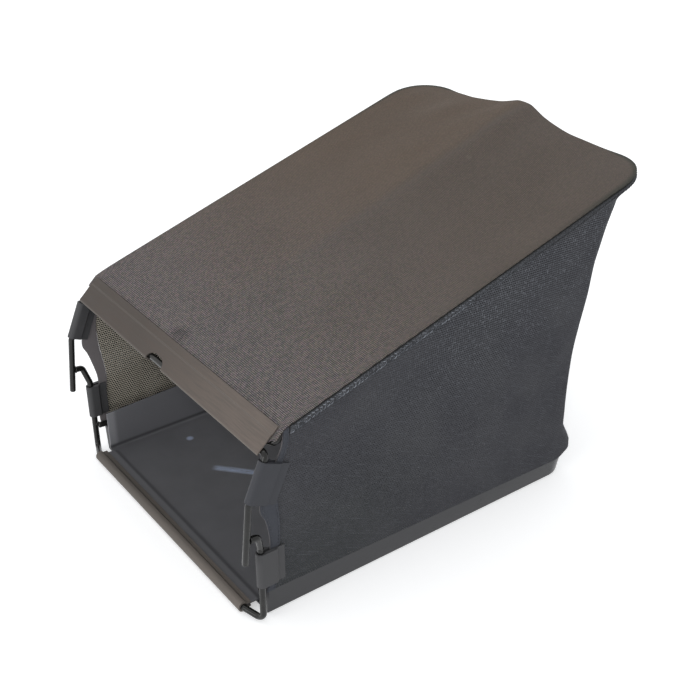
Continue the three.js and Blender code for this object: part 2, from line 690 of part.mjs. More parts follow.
function riserHoop() {
  const pin = point(0, PIN_END_Y - KNEE_Y, PIN_END_Z - KNEE_Z).normalize();
  const rearwards = point(0, -pin.z, pin.y);
  const pinY = KNEE_Y + (WELD_Z - KNEE_Z) * pin.y / pin.z;
  const weld = point(LEG_X, pinY, WELD_Z);
  return rod(bent(bothSides([
    weld.clone().addScaledVector(rearwards, SEAT),
    weld.clone().addScaledVector(rearwards, SEAT + STUB_LENGTH),
    point(RISER_X, RISER_Y, RISER_TOP_Z),
    point(RISER_X, RISER_Y, BOTTOM_CORNER_Z),
    point(BOTTOM_TRIM_HALF + BAR_BEND_OFF, BOTTOM_BAR_Y, BOTTOM_BAR_Z),
  ]), [STUB_BEND, STUB_BEND, BOTTOM_BEND, STUB_BEND, STUB_BEND, BOTTOM_BEND, STUB_BEND, STUB_BEND]));
}

const BASE_HOOP_BEHIND = 1.5; // its ends are welded to the risers this far behind their centres
const BASE_HOOP_BEND_IN = 6;

function baseHoop() {
  const startY = RISER_Y + BASE_HOOP_BEHIND;
  const besidePanY = PAN_FRONT_Y + BASE_HOOP_BEND_IN;
  const bend = HOOP_REAR_BEND;
  return rod(bent(bothSides([
    point(RISER_X - ROD - GAP, startY, baseWireZ(startY)),
    point(BASE_WIRE_HALF, besidePanY, baseWireZ(besidePanY)),
    point(BASE_WIRE_HALF, BASE_WIRE_REAR, HOOP_REAR_Z),
  ]), [bend, bend, bend, bend]));
}

function rearStay() {
  const wireY = REAR_Y - REAR_INSET - rearDip(STAY_X);
  const upper = point(STAY_X, wireY, topZ(STAY_X, wireY) - RAIL_DROP);
  const lower = point(STAY_X, BASE_WIRE_REAR, HOOP_REAR_Z);
  const down = lower.clone().sub(upper).normalize();
  return rod([
    upper.addScaledVector(down, SEAT + STAY_SKEW),
    lower.addScaledVector(down, -SEAT),
  ]);
}

// Plastic trims
function topTrim() {
  const at = (t, n) => [trimY(t, n), trimZ(t, n)];
  const section = new THREE.Shape();
  const outline = [
    [0.8, 0], [TRIM_BODY, 0], [TRIM_BODY + TRIM_STEP, -TRIM_STEP], [FLANGE_END_T - 0.5, -TRIM_STEP],
    [FLANGE_END_T, -TRIM_STEP - 0.6], [FLANGE_END_T, FLANGE_UNDER], [TRIM_BODY - 1, FLANGE_UNDER],
    [TRIM_BODY - 2, -TRIM_WALL], [TRIM_WALL, -TRIM_WALL], [TRIM_WALL, -TRIM_LIP + TRIM_WALL],
    [TRIM_HOOK, -TRIM_LIP + TRIM_WALL], [TRIM_HOOK, -TRIM_LIP], [0.8, -TRIM_LIP], [0, -TRIM_LIP + 0.8],
    [0, -0.8],
  ];
  outline.forEach(([t, n], i) => (i ? section.lineTo(...at(t, n)) : section.moveTo(...at(t, n))));
  section.closePath();
  const strip = toManifold(alongX(section, TRIM_HALF));

  const arch = new THREE.Shape();
  arch.moveTo(-NOTCH_HALF, -2);
  arch.lineTo(NOTCH_HALF, -2);
  arch.lineTo(NOTCH_HALF, NOTCH_HEIGHT * 0.25);
  arch.absellipse(0, NOTCH_HEIGHT * 0.25, NOTCH_HALF, NOTCH_HEIGHT * 0.75, 0, Math.PI, false);
  arch.closePath();
  const cutter = new THREE.ExtrudeGeometry(arch, { depth: 3 * TRIM_LIP, bevelEnabled: false, curveSegments: 8 });
  const axisT = point(0, Math.cos(TRIM_TILT), Math.sin(TRIM_TILT));
  const axisN = point(0, -Math.sin(TRIM_TILT), Math.cos(TRIM_TILT));
  cutter.translate(0, 0, -2 * TRIM_LIP);
  cutter.applyMatrix4(new THREE.Matrix4().makeBasis(point(1, 0, 0), axisT, axisN));
  cutter.translate(NOTCH_X, 0, TRIM_EDGE_Z);

  let solid = strip.subtract(toManifold(cutter));
  for (const side of [-1, 1]) {
    const relief = box(TRIM_END_RELIEF * 2, TRIM_HOOK * 2, TRIM_LIP, 0, 0, 0);
    relief.translate(0, TRIM_HOOK / 2, -TRIM_WALL - GAP - TRIM_LIP / 2);
    relief.applyMatrix4(new THREE.Matrix4().makeBasis(point(1, 0, 0), axisT, axisN));
    relief.translate(side * TRIM_HALF, 0, TRIM_EDGE_Z);
    solid = solid.subtract(toManifold(relief));
  }
  return fromManifold(solid);
}

/** Section of a clasp: a sleeve round the wire, a web, and two plates of unequal length on a slot. */
function claspSection({ wall, slot, web, outerPlate, innerPlate }) {
  const bore = ROD_R + GAP;
  const skin = bore + wall;
  const mouth = Math.asin(slot / bore);
  const bottom = Math.min(web * 0.5, innerPlate * 0.5);
  const shape = new THREE.Shape();
  shape.moveTo(outerPlate, slot);
  shape.lineTo(outerPlate, slot + wall);
  if (web < outerPlate) {
    shape.lineTo(web + 2.4, slot + wall);
    shape.lineTo(web, skin);
  }
  shape.lineTo(0, skin);
  shape.absarc(0, 0, skin, Math.PI / 2, 3 * Math.PI / 2, false);
  shape.lineTo(bottom, -skin);
  shape.lineTo(bottom + 2.4, -slot - wall);
  shape.lineTo(innerPlate, -slot - wall);
  shape.lineTo(innerPlate, -slot);
  shape.lineTo(bore * Math.cos(mouth), -slot);
  shape.absarc(0, 0, bore, -mouth, mouth - 2 * Math.PI, true);
  shape.closePath();
  return shape;
}

const HEM_SLOT = HEM_CLOTH / 2 + GAP;

function clip({ length, web, outerPlate, innerPlate, top, down, x }) {
  const section = claspSection({ wall: CLIP_WALL, slot: HEM_SLOT, web, outerPlate, innerPlate });
  const body = new THREE.ExtrudeGeometry(section, { depth: length, bevelEnabled: false, curveSegments: 7 });
  const back = point(0, -down.z, down.y);
  body.applyMatrix4(new THREE.Matrix4().makeBasis(back, point(1, 0, 0), down));
  return closed(body.translate(x, top.y, top.z));
}

function upperClip() {
  const start = HOOP_BEND + 1;
  return clip({
    length: UPPER_CLIP_LENGTH,
    web: UPPER_CLIP_WEB,
    outerPlate: UPPER_CLIP_PLATE,
    innerPlate: CLIP_INNER_PLATE,
    top: point(0, HOOP_Y, HOOP_Z).addScaledVector(legDown, start),
    down: legDown,
    x: LEG_X,
  });
}

function lowerClip() {
  return clip({
    length: LOWER_CLIP_LENGTH,
    web: LOWER_CLIP_WEB,
    outerPlate: LOWER_CLIP_PLATE,
    innerPlate: CLIP_INNER_PLATE,
    top: point(0, RISER_Y, LOWER_CLIP_TOP),
    down: point(0, 0, -1),
    x: RISER_X,
  });
}

function bottomTrim() {
  const section = claspSection({
    wall: BOTTOM_TRIM_WALL,
    slot: LIP_THICK / 2 + GAP,
    web: 2,
    outerPlate: BOTTOM_JAW,
    innerPlate: BOTTOM_JAW,
  });
  return alongX(section, BOTTOM_TRIM_HALF, 7).translate(0, BOTTOM_BAR_Y, BOTTOM_BAR_Z);
}

// Base pan
function panOutline(half, front, rear, radius, height) {
  const right = spread(0, 90, 6).map((deg) => {
    const angle = THREE.MathUtils.degToRad(deg);
    return [half - radius * (1 - Math.cos(angle)), rear - radius * (1 - Math.sin(angle))];
  });
  const left = right.map(([x, y]) => [-x, y]).reverse();
  return [[-half, front], [half, front], ...right, ...left].map(([x, y]) => point(x, y, height(y)));
}

function basePan() {
  const outer = (out, height) => panOutline(PAN_HALF + out, PAN_FRONT_Y, PAN_REAR_Y + out, PAN_CORNER + out, height);
  const upper = PAN_UPPER_HALF - PAN_HALF;
  const shell = toManifold(loft([
    outer(-2, () => 0),
    outer(-0.6, () => 0.8),
    outer(0, () => 2.6),
    outer(PAN_LEDGE_OUT, (y) => ledgeZ(y) - 1),
    outer(PAN_LEDGE_OUT - 1, ledgeZ),
    outer(upper, ledgeZ),
    outer(upper, panTopZ),
  ]));
  const cavity = (inset, height) => panOutline(
    PAN_UPPER_HALF - PAN_WALL - inset,
    PAN_FRONT_Y - 5,
    PAN_REAR_Y + upper - PAN_WALL - inset,
    PAN_CORNER + upper - PAN_WALL - inset,
    height,
  );
  const room = toManifold(loft([
    cavity(PAN_DRAFT + 3, () => PAN_FLOOR),
    cavity(PAN_DRAFT + 0.8, () => PAN_FLOOR + 1),
    cavity(PAN_DRAFT, () => PAN_FLOOR + 3),
    cavity(0, (y) => panTopZ(y) + 1),
  ]));
  const lip = new THREE.Shape();
  const lipTop = BOTTOM_BAR_Z + LIP_THICK / 2;
  const lipFront = BOTTOM_BAR_Y + SEAT + 1;
  lip.moveTo(PAN_FRONT_Y + 12, 0.6);
  lip.lineTo(PAN_FRONT_Y + 12, PAN_FLOOR - 0.4);
  lip.lineTo(PAN_FRONT_Y - 2, lipTop);
  lip.lineTo(lipFront, lipTop);
  lip.lineTo(lipFront, lipTop - LIP_THICK);
  lip.lineTo(PAN_FRONT_Y - 4, lipTop - LIP_THICK);
  lip.closePath();
  return fromManifold(shell.subtract(room).add(toManifold(alongX(lip, LIP_HALF))));
}

// Finishes
const finish = (color, roughness, metalness = 0) => ({ color, roughness, metalness });
const WIRE = finish(0x141414, 0.3, 0.2);
const TRIM_PLASTIC = finish(0x6a625d, 0.55);
const CLIP_PLASTIC = finish(0x4f5052, 0.5);
const PAN_PLASTIC = finish(0x303032, 0.35);
const WOVEN = finish(0x625a56, 0.9);
const MESH_CLOTH = finish(0x3c3d42, 0.85);
const DARK_WEB = finish(0x2f3036, 0.9);

const bag = new THREE.Group();

function addPiece(name, geometry, { color, roughness, metalness }) {
  const mesh = new THREE.Mesh(geometry, new THREE.MeshStandardMaterial({ color, roughness, metalness }));
  mesh.name = name;
  bag.add(mesh);
}

function addPair(name, rightGeometry, look) {
  addPiece(`${name}_left`, mirrored(rightGeometry), look);
  addPiece(`${name}_right`, rightGeometry, look);
}

addPiece('front_hoop', frontHoop(), WIRE);
addPiece('upper_rail_hoop', upperRailHoop(), WIRE);
addPiece('riser_hoop', riserHoop(), WIRE);
addPiece('base_hoop', baseHoop(), WIRE);
addPair('rear_stay', rearStay(), WIRE);
addPiece('top_trim', topTrim(), TRIM_PLASTIC);
addPiece('bottom_trim', bottomTrim(), TRIM_PLASTIC);
addPair('upper_clip', upperClip(), CLIP_PLASTIC);
addPair('lower_clip', lowerClip(), CLIP_PLASTIC);
addPiece('base_pan', basePan(), PAN_PLASTIC);
addPiece('top_panel', topPanel(), WOVEN);
addPair('side_mesh', sideMesh(), MESH_CLOTH);
addPiece('rear_mesh', rearMesh(), MESH_CLOTH);
addPair('front_hem', frontHem(), DARK_WEB);
addPiece('seam_tape', seamTape(), DARK_WEB);

// The origin is the middle of the whole bag's footprint, on the ground
const bounds = new THREE.Box3().setFromObject(bag);
bag.position.set(0, -(bounds.min.y + bounds.max.y) / 2, -bounds.min.z);
bag.updateMatrixWorld(true);

export default bag;
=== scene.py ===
import math
from functools import partial

import bpy
import numpy as np
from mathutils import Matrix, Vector, noise


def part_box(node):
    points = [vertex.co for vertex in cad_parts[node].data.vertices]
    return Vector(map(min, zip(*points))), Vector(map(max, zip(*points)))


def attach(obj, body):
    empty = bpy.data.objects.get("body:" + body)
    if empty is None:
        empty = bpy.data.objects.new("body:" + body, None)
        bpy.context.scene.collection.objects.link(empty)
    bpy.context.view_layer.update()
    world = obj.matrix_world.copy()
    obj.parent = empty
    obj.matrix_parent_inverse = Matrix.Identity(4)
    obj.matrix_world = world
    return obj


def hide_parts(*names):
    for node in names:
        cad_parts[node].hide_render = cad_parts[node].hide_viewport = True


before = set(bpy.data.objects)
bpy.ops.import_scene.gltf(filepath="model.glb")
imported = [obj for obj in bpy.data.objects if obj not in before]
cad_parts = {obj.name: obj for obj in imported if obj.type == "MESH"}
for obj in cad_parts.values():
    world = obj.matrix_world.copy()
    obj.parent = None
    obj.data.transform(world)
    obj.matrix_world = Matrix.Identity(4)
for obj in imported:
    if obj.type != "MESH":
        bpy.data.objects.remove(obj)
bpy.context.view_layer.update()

# The bag is laid out in millimetres from the lower front edge of the top trim, and made in metres.
MM = 0.001
ROD = 8.0
ROD_R = ROD / 2
CLOTH = 1.6
GAP = 0.3
SEAT = ROD_R + GAP

LEG_X, KNEE_Y, KNEE_Z = 218.5, -15.8, 175.8
PIN_END_Y, PIN_END_Z, PIN_NOSE = -23.3, 101.0, 2.2
HOOP_BEND = 6.5
TRIM_HALF, TRIM_EDGE_Z, TRIM_TILT = 213.5, 232.0, math.radians(43.6)
TRIM_BODY, TRIM_FLANGE, TRIM_WALL, TRIM_STEP = 26.5, 11.2, 1.8, 1.0
UPPER_BAR_AT, UPPER_BAR_DEEP = 18.0, 11.0

BODY_HALF, RAIL_SLOPE, RAIL_ZERO_Z = 221.0, 0.3098, 248.1
LEVEL_FROM_Y, LEVEL_RUN = 500.0, 91.0
REAR_Y, REAR_CORNER = 574.0, 58.0
HANDLE_RISE, HANDLE_HALF, HANDLE_SPAN, HANDLE_POWER = 27.5, 15.0, 163.0, 1.6
RIDGE_POWER = 1.5
REAR_DIP, REAR_DIP_X, REAR_DIP_MIDDLE = 18.0, 90.0, 9.0
PULL_IN, PULL_SIDE = 34.0, 8.0
STAY_X = 90.0

RISER_X, RISER_Y, RISER_TOP_Z = 213.0, -0.4, 108.0
WELD_Z, STUB_LENGTH, STUB_BEND = 131.0, 9.5, 5.0
BOTTOM_BAR_Y, BOTTOM_BAR_Z, BOTTOM_CORNER_Z, BOTTOM_BEND = -10.0, 8.0, 4.2, 9.0
BOTTOM_TRIM_HALF = 185.0
LOWER_CLIP_TOP, LOWER_CLIP_LENGTH = 102.0, 47.0

PAN_FRONT_Y, PAN_REAR_Y, PAN_HALF, PAN_CORNER = 11.0, 490.0, 204.0, 31.0
PAN_LEDGE_FRONT_Z, PAN_LEDGE_REAR_Z, PAN_LEDGE_OUT, PAN_LEDGE_WIDTH = 38.0, 27.0, 4.0, 8.8
HOOP_REAR_Z, HOOP_REAR_BEND = 39.5, 12.0

# Where the layout's Y of zero lies in the frame
Y_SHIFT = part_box("base_pan")[1].y / MM - (PAN_REAR_Y + PAN_LEDGE_OUT)


def mix(a, b, share):
    return a + (b - a) * share


def smooth(value, low, high):
    t = min(1.0, max(0.0, (value - low) / (high - low)))
    return t * t * (3 - 2 * t)


def spread(low, high, count):
    return [mix(low, high, i / count) for i in range(count + 1)]


# Form of the body


def trim_place(t, n):
    """Y and Z of a point t up the leaning trim and n out of its face."""
    return (
        t * math.cos(TRIM_TILT) - n * math.sin(TRIM_TILT),
        TRIM_EDGE_Z + t * math.sin(TRIM_TILT) + n * math.cos(TRIM_TILT),
    )


CLOTH_FACE_N = -(TRIM_STEP + TRIM_WALL) - GAP
HOOP_Y, HOOP_Z = trim_place(TRIM_WALL + SEAT, -(TRIM_WALL + SEAT))
UPPER_BAR_Y, UPPER_BAR_Z = trim_place(UPPER_BAR_AT, -UPPER_BAR_DEEP)
FLANGE_END_Y, FLANGE_END_Z = trim_place(TRIM_BODY + TRIM_FLANGE, CLOTH_FACE_N)


def rail_line(y):
    past = max(0.0, y - LEVEL_FROM_Y)
    return RAIL_ZERO_Z + RAIL_SLOPE * y - RAIL_SLOPE * past * past / (2 * LEVEL_RUN)


def handle_rise(x):
    share = min(1.0, max(0.0, abs(x) - HANDLE_HALF) / (HANDLE_SPAN - HANDLE_HALF))
    return HANDLE_RISE * (1 - share) ** HANDLE_POWER


def rear_dip(x):
    out = abs(x)
    if out > HANDLE_SPAN:
        return 0.0
    if out < REAR_DIP_X:
        return mix(REAR_DIP_MIDDLE, REAR_DIP, (1 - math.cos(math.pi * out / REAR_DIP_X)) / 2)
    share = min(1.0, (out - REAR_DIP_X) / (HANDLE_SPAN - REAR_DIP_X))
    return REAR_DIP * (1 + math.cos(math.pi * share)) / 2


def line_through(pairs):
    """Smooth line through pairs of place and value."""
    place = np.array([p[0] for p in pairs], float)
    value = np.array([p[1] for p in pairs], float)
    slope = np.gradient(value, place)

    def at(where):
        k = int(np.clip(np.searchsorted(place, where) - 1, 0, len(place) - 2))
        run = place[k + 1] - place[k]
        t = min(1.0, max(0.0, (where - place[k]) / run))
        return float(
            (2 * t**3 - 3 * t**2 + 1) * value[k]
            + (t**3 - 2 * t**2 + t) * run * slope[k]
            + (3 * t**2 - 2 * t**3) * value[k + 1]
            + (t**3 - t**2) * run * slope[k + 1]
        )

    return at


# The cloth hangs a little looser over the rear wire than the wire itself runs
RISE = line_through(
    [
        (0, 27), (12, 26.8), (24, 23.4), (38, 19.5), (54, 17.1),
        (72, 15.1), (92, 12.6), (114, 8), (138, 2.8), (HANDLE_SPAN, 0),
    ]
)
DIP = line_through(
    [
        (0, 9.4), (12, 10.4), (24, 11.7), (38, 13.6), (54, 16.1),
        (72, 18.3), (92, 19), (114, 13.3), (138, 5.9), (HANDLE_SPAN, 0),
    ]
)


def cloth_rise(x):
    return 0.0 if abs(x) > HANDLE_SPAN else RISE(abs(x))


def cloth_dip(x):
    return 0.0 if abs(x) > HANDLE_SPAN else DIP(abs(x))


FLANGE_DROP = rail_line(FLANGE_END_Y) - FLANGE_END_Z
FLANGE_FADE = 10


def top_z(x, y, rise=cloth_rise):
    """Height of the top's lower face, from the slope of the trim back to the humped rear edge."""
    if y < FLANGE_END_Y:
        return FLANGE_END_Z - (FLANGE_END_Y - y) * math.tan(TRIM_TILT)
    share = (y - FLANGE_END_Y) / (REAR_Y - FLANGE_END_Y)
    ridge = rise(x) * min(1.0, share) ** RIDGE_POWER
    return rail_line(y) + ridge - FLANGE_DROP * math.exp(-(y - FLANGE_END_Y) / FLANGE_FADE)


SIDE_SHARE = 0.85
CORNER_SHARE = 0.12
TAPE_OUT = 1.5


def corner_point(outline, degrees):
    half, rear, radius = outline
    angle = math.radians(degrees)
    return half - radius * (1 - math.cos(angle)), rear - radius * (1 - math.sin(angle))


def side_point(outline, front, share):
    if share > SIDE_SHARE:
        return corner_point(outline, 45 * (share - SIDE_SHARE) / (1 - SIDE_SHARE))
    half, rear, radius = outline
    return half, mix(front, rear - radius, share / SIDE_SHARE)


def rear_point(outline, share):
    near = min(share, 1 - share)
    sign = 1 if share < 0.5 else -1
    if near < CORNER_SHARE:
        x, y = corner_point(outline, 45 + 45 * near / CORNER_SHARE)
        return sign * x, y
    half, rear, radius = outline
    return (half - radius) * (1 - 2 * (share - CORNER_SHARE) / (1 - 2 * CORNER_SHARE)), rear


TOP_OUTLINE = (BODY_HALF - TAPE_OUT, REAR_Y - TAPE_OUT, REAR_CORNER - TAPE_OUT)
PAN_UPPER_HALF = PAN_HALF + PAN_LEDGE_OUT - PAN_LEDGE_WIDTH
BASE_WIRE_HALF = PAN_UPPER_HALF + SEAT
BASE_WIRE_REAR = PAN_REAR_Y + PAN_UPPER_HALF - PAN_HALF + SEAT
WRAP = SEAT + CLOTH
WRAP_OUTLINE = (BASE_WIRE_HALF + WRAP, BASE_WIRE_REAR + WRAP, HOOP_REAR_BEND + WRAP)
LEDGE_OUTLINE = (BASE_WIRE_HALF + WRAP, BASE_WIRE_REAR + WRAP, PAN_CORNER + PAN_LEDGE_OUT)


def ledge_z(y):
    share = min(1.0, max(0.0, (y - PAN_FRONT_Y) / (PAN_REAR_Y - PAN_FRONT_Y)))
    return mix(PAN_LEDGE_FRONT_Z, PAN_LEDGE_REAR_Z, share)


def base_wire_z(y):
    share = (y - PAN_FRONT_Y) / (BASE_WIRE_REAR - PAN_FRONT_Y)
    return mix(PAN_LEDGE_FRONT_Z + SEAT, HOOP_REAR_Z, share)


RAIL_INSET = TAPE_OUT + CLOTH + SEAT
RAIL_DROP = (CLOTH + SEAT) * 1.1
PULL_FROM, FOOT_PULL = 4.0, 32.0

# Share of the inward draw against the depth below the seam, at a rear corner of this height
FULL_HEIGHT = 350
DRAW = line_through(
    [
        (0, 0), (4, 0), (8, 0.025), (12, 0.256), (16, 0.435), (22, 0.585), (30, 0.639), (42, 0.723),
        (60, 0.825), (90, 0.941), (140, 0.991), (200, 1.044), (260, 0.92), (320, 0.629), (380, 0.229),
    ]
)


def pull_share(depth, height):
    return DRAW(depth * max(1.0, FULL_HEIGHT / height)) * smooth(height - depth, 0, FOOT_PULL)


def front_line_x(z):
    """The front line of the wall, which lies in the slots of both clips."""
    clip_foot = LOWER_CLIP_TOP - LOWER_CLIP_LENGTH
    first = mix(BASE_WIRE_HALF + WRAP, RISER_X + GAP, smooth(z, ledge_z(0), clip_foot))
    second = mix(first, LEG_X + GAP, smooth(z, LOWER_CLIP_TOP, KNEE_Z - 24))
    return mix(second, BODY_HALF - TAPE_OUT, smooth(z, TRIM_EDGE_Z - 10, TRIM_EDGE_Z + 4))


TOP_DROP = (CLOTH + GAP) * 1.35
TOP_DROP_FRONT = (CLOTH + GAP) / math.cos(TRIM_TILT)
WIRE_UNDER_ROW = 0.7
UNDER_WIRE, OVER_WIRE = 3, 1
DRAWN_FROM_X, DRAWN_FULL_X = 100, 205

# Behind the trim the walls leave the front line and take up their own outline
BODY_FROM_Y, BODY_FULL_Y = 38, 110


def wall_point(plan, side, row):
    """A point of a wall's outer face; row goes from the pan (0) round the base wire (1) to the seam (2)."""
    wrap_x, wrap_y = plan(WRAP_OUTLINE)
    wire_z = base_wire_z(wrap_y)
    if row <= 1:
        foot_x, foot_y = plan(LEDGE_OUTLINE)
        up = min(1.0, row / WIRE_UNDER_ROW)
        low = mix(ledge_z(foot_y) + GAP, wire_z - UNDER_WIRE, up)
        z = mix(low, wire_z + OVER_WIRE, max(0.0, (row - WIRE_UNDER_ROW) / (1 - WIRE_UNDER_ROW)))
        return mix(foot_x, wrap_x, up), mix(foot_y, wrap_y, up), z
    top_x, straight_y = plan(TOP_OUTLINE)
    top_y = straight_y - cloth_dip(top_x)
    seam_z = top_z(top_x, top_y) - mix(TOP_DROP_FRONT, TOP_DROP, smooth(top_y, FLANGE_END_Y, BODY_FROM_Y))
    height = seam_z - wire_z - OVER_WIRE
    depth = (2 - row) * height
    z = seam_z - depth
    pull = pull_share(depth, height)
    lean = max(0.0, (depth - PULL_FROM) / (height - PULL_FROM))
    near = smooth(abs(top_x), DRAWN_FROM_X, DRAWN_FULL_X) if side is None else side**3
    y = mix(top_y, wrap_y, lean) - PULL_IN * pull * near
    x = mix(top_x, wrap_x, lean) - math.copysign(1, top_x) * PULL_SIDE * pull * near
    if side is None:
        return x, y, z
    return mix(front_line_x(z), x, smooth(y, BODY_FROM_Y, BODY_FULL_Y)), y, z


def side_wall(front, share, row):
    return wall_point(lambda outline: side_point(outline, front, share), share, row)


def rear_wall(share, row):
    return wall_point(lambda outline: rear_point(outline, share), None, row)


# Y of the wavy hem's two edges at a height
hem_front_y = line_through(
    [
        (36, 7), (60, 7.5), (96, 11), (112, 12), (136, 8.5), (157, 4),
        (178, -2), (198, 2.5), (214, 15), (226, 26), (241, 29.5), (262, 30),
    ]
)
hem_back_y = line_through(
    [
        (36, 19), (72, 20), (109, 24.5), (138, 23), (167, 20.5),
        (196, 22), (212, 29), (226, 35.5), (241, 37), (262, 37.2),
    ]
)


# Shader maths


class Value:
    """A shader socket that takes part in arithmetic."""

    def __init__(self, nodes, socket):
        self.nodes, self.socket = nodes, socket

    def maths(self, operation, *values):
        node = self.nodes.node("ShaderNodeMath", {"operation": operation}, dict(enumerate(values)))
        return Value(self.nodes, node.outputs[0])

    def __add__(self, other):
        return self.maths("ADD", self, other)

    def __sub__(self, other):
        return self.maths("SUBTRACT", self, other)

    def __rsub__(self, other):
        return self.maths("SUBTRACT", other, self)

    def __mul__(self, other):
        return self.maths("MULTIPLY", self, other)

    __radd__ = __add__
    __rmul__ = __mul__

    def sine(self):
        return self.maths("SINE", self)

    def fraction(self):
        return self.maths("FRACT", self)

    def floor(self):
        return self.maths("FLOOR", self)

    def size(self):
        return self.maths("ABSOLUTE", self)

    def root(self):
        return self.maths("SQRT", self)

    def at_least(self, low):
        return self.maths("MAXIMUM", self, low)

    def ramp(self, low, high, start=0.0, end=1.0):
        """Rises smoothly from start to end while this goes from low to high."""
        stops = {0: self, 1: low, 2: high, 3: start, 4: end}
        node = self.nodes.node("ShaderNodeMapRange", {"interpolation_type": "SMOOTHSTEP"}, stops)
        return Value(self.nodes, node.outputs[0])


def srgb(red, green, blue):
    """A colour read from 0 to 255, as the shader wants it."""
    shares = (red / 255, green / 255, blue / 255)
    linear = [c / 12.92 if c <= 0.04045 else ((c + 0.055) / 1.055) ** 2.4 for c in shares]
    return (*linear, 1.0)


class Nodes:
    """The nodes of a new material or of the world."""

    def __init__(self, owner):
        owner.use_nodes = True
        self.tree = owner.node_tree
        self.tree.nodes.clear()

    def node(self, kind, settings=None, inputs=None):
        """Adds a node with its settings, and with values or links for its sockets."""
        node = self.tree.nodes.new(kind)
        for key, value in (settings or {}).items():
            setattr(node, key, value)
        for key, value in (inputs or {}).items():
            source = value.socket if isinstance(value, Value) else value
            if isinstance(source, bpy.types.NodeSocket):
                self.tree.links.new(source, node.inputs[key])
            else:
                node.inputs[key].default_value = source
        return node


class Look(Nodes):
    """One finish: a Principled surface and what feeds it."""

    def __init__(self, name, **constants):
        self.material = bpy.data.materials.new(name)
        super().__init__(self.material)
        self.surface = self.node("ShaderNodeBsdfPrincipled", inputs=constants)
        self.node("ShaderNodeOutputMaterial", inputs={"Surface": self.surface.outputs[0]})

    def feed(self, **sources):
        """Links what varies to the surface: base_color, roughness, alpha, normal."""
        for key, source in sources.items():
            source = source.socket if isinstance(source, Value) else source
            self.tree.links.new(source, self.surface.inputs[key.replace("_", " ").title()])

    def axes(self, vector):
        split = self.node("ShaderNodeSeparateXYZ", inputs={0: vector})
        return [Value(self, out) for out in split.outputs]

    def place(self):
        """Position on the object, in millimetres."""
        return self.scaled(self.node("ShaderNodeTexCoord").outputs["Object"], 1 / MM)

    def scaled(self, vector, factor):
        node = self.node("ShaderNodeVectorMath", {"operation": "SCALE"}, {0: vector, "Scale": factor})
        return node.outputs[0]

    def along_cloth(self):
        """Distances along and across the cloth in millimetres, and 1 on its inner side."""
        found = self.node("ShaderNodeAttribute", {"attribute_name": "cloth_mm"})
        return self.axes(found.outputs["Vector"])

    def joined(self, x, y, z=0.0):
        return self.node("ShaderNodeCombineXYZ", inputs={0: x, 1: y, 2: z}).outputs[0]

    def noise(self, vector, scale, detail=2.0, roughness=0.5):
        inputs = {"Vector": vector, "Scale": scale, "Detail": detail, "Roughness": roughness}
        return Value(self, self.node("ShaderNodeTexNoise", inputs=inputs).outputs["Fac"])

    def cell_noise(self, vector):
        """A random value and a random colour for each whole number of the vector."""
        node = self.node("ShaderNodeTexWhiteNoise", {"noise_dimensions": "3D"}, {"Vector": vector})
        return Value(self, node.outputs["Value"]), node.outputs["Color"]

    def blend(self, share, first, second, kind="MIX"):
        settings = {"data_type": "RGBA", "blend_type": kind}
        return self.node("ShaderNodeMix", settings, {0: share, 6: first, 7: second}).outputs[2]

    def bump(self, height, distance_mm, strength=1.0, under=None):
        inputs = {"Height": height, "Distance": distance_mm * MM, "Strength": strength}
        if under is not None:
            inputs["Normal"] = under
        return self.node("ShaderNodeBump", inputs=inputs).outputs[0]


def surface(ior, specular, **more):
    """Constants of a finish: its shine, and what else it has, such as a coat or a sheen."""
    named = {key.replace("_", " ").title(): value for key, value in more.items()}
    return {"IOR": ior, "Specular IOR Level": specular, **named}


def gloss_black_wire():
    """Gloss black powder coat: faint orange peel, dust and a few rubbed spots."""
    look = Look("gloss_black_wire", **surface(1.4, 0.3, coat_roughness=0.08, coat_weight=0.3))
    place = look.place()
    peel = look.noise(place, 0.55, 3)
    dust_and_painted_fill = look.noise(place, 0.045, 4, 0.6).ramp(0.5, 0.75)
    scuff = look.noise(place, 0.9, 5, 0.7).ramp(0.66, 0.72)
    colour = look.blend(dust_and_painted_fill * 0.4, srgb(27, 27, 26), srgb(62, 61, 57))
    look.feed(
        base_color=look.blend(scuff * 0.4, colour, srgb(88, 86, 82)),
        roughness=0.16 + dust_and_painted_fill * 0.2 + scuff * 0.2,
        normal=look.bump(peel, 0.06, 0.4),
    )
    return look.material


def spot(x, y, middle, reach):
    """1 in the middle of an oval spot and 0 outside it."""
    across, along = (x - middle[0]) * (1 / reach[0]), (y - middle[1]) * (1 / reach[1])
    return (across * across + along * along).ramp(0.0, 1.0, 1.0, 0.0)


# Where the painted highlight streak and spot lie on the pan's floor
STREAK_START, STREAK_RUN = (-74.5, 103.7), (0.736, 0.676)
HIGHLIGHT_SPOT, HIGHLIGHT_REACH = (-155, 112), (6.5, 6.5)


def floor_painted_highlight(look, x, back, z):
    """A painted highlight on the floor of the pan: a pale streak and a spot."""
    right, behind = x - STREAK_START[0], back - STREAK_START[1]
    along = right * STREAK_RUN[0] + behind * STREAK_RUN[1]
    across = behind * STREAK_RUN[0] - right * STREAK_RUN[1]
    broken = look.noise(look.joined(along * 0.05, across * 0.5), 1.0, 3, 0.7).ramp(0.3, 0.6, 0.35, 1.0)
    inside = along.ramp(-5, 8) * along.ramp(58, 78, 1.0, 0.0) * across.size().ramp(2.5, 7.5, 1.0, 0.0)
    return (inside * broken + spot(x, back, HIGHLIGHT_SPOT, HIGHLIGHT_REACH)) * z.ramp(6, 10, 1.0, 0.0)


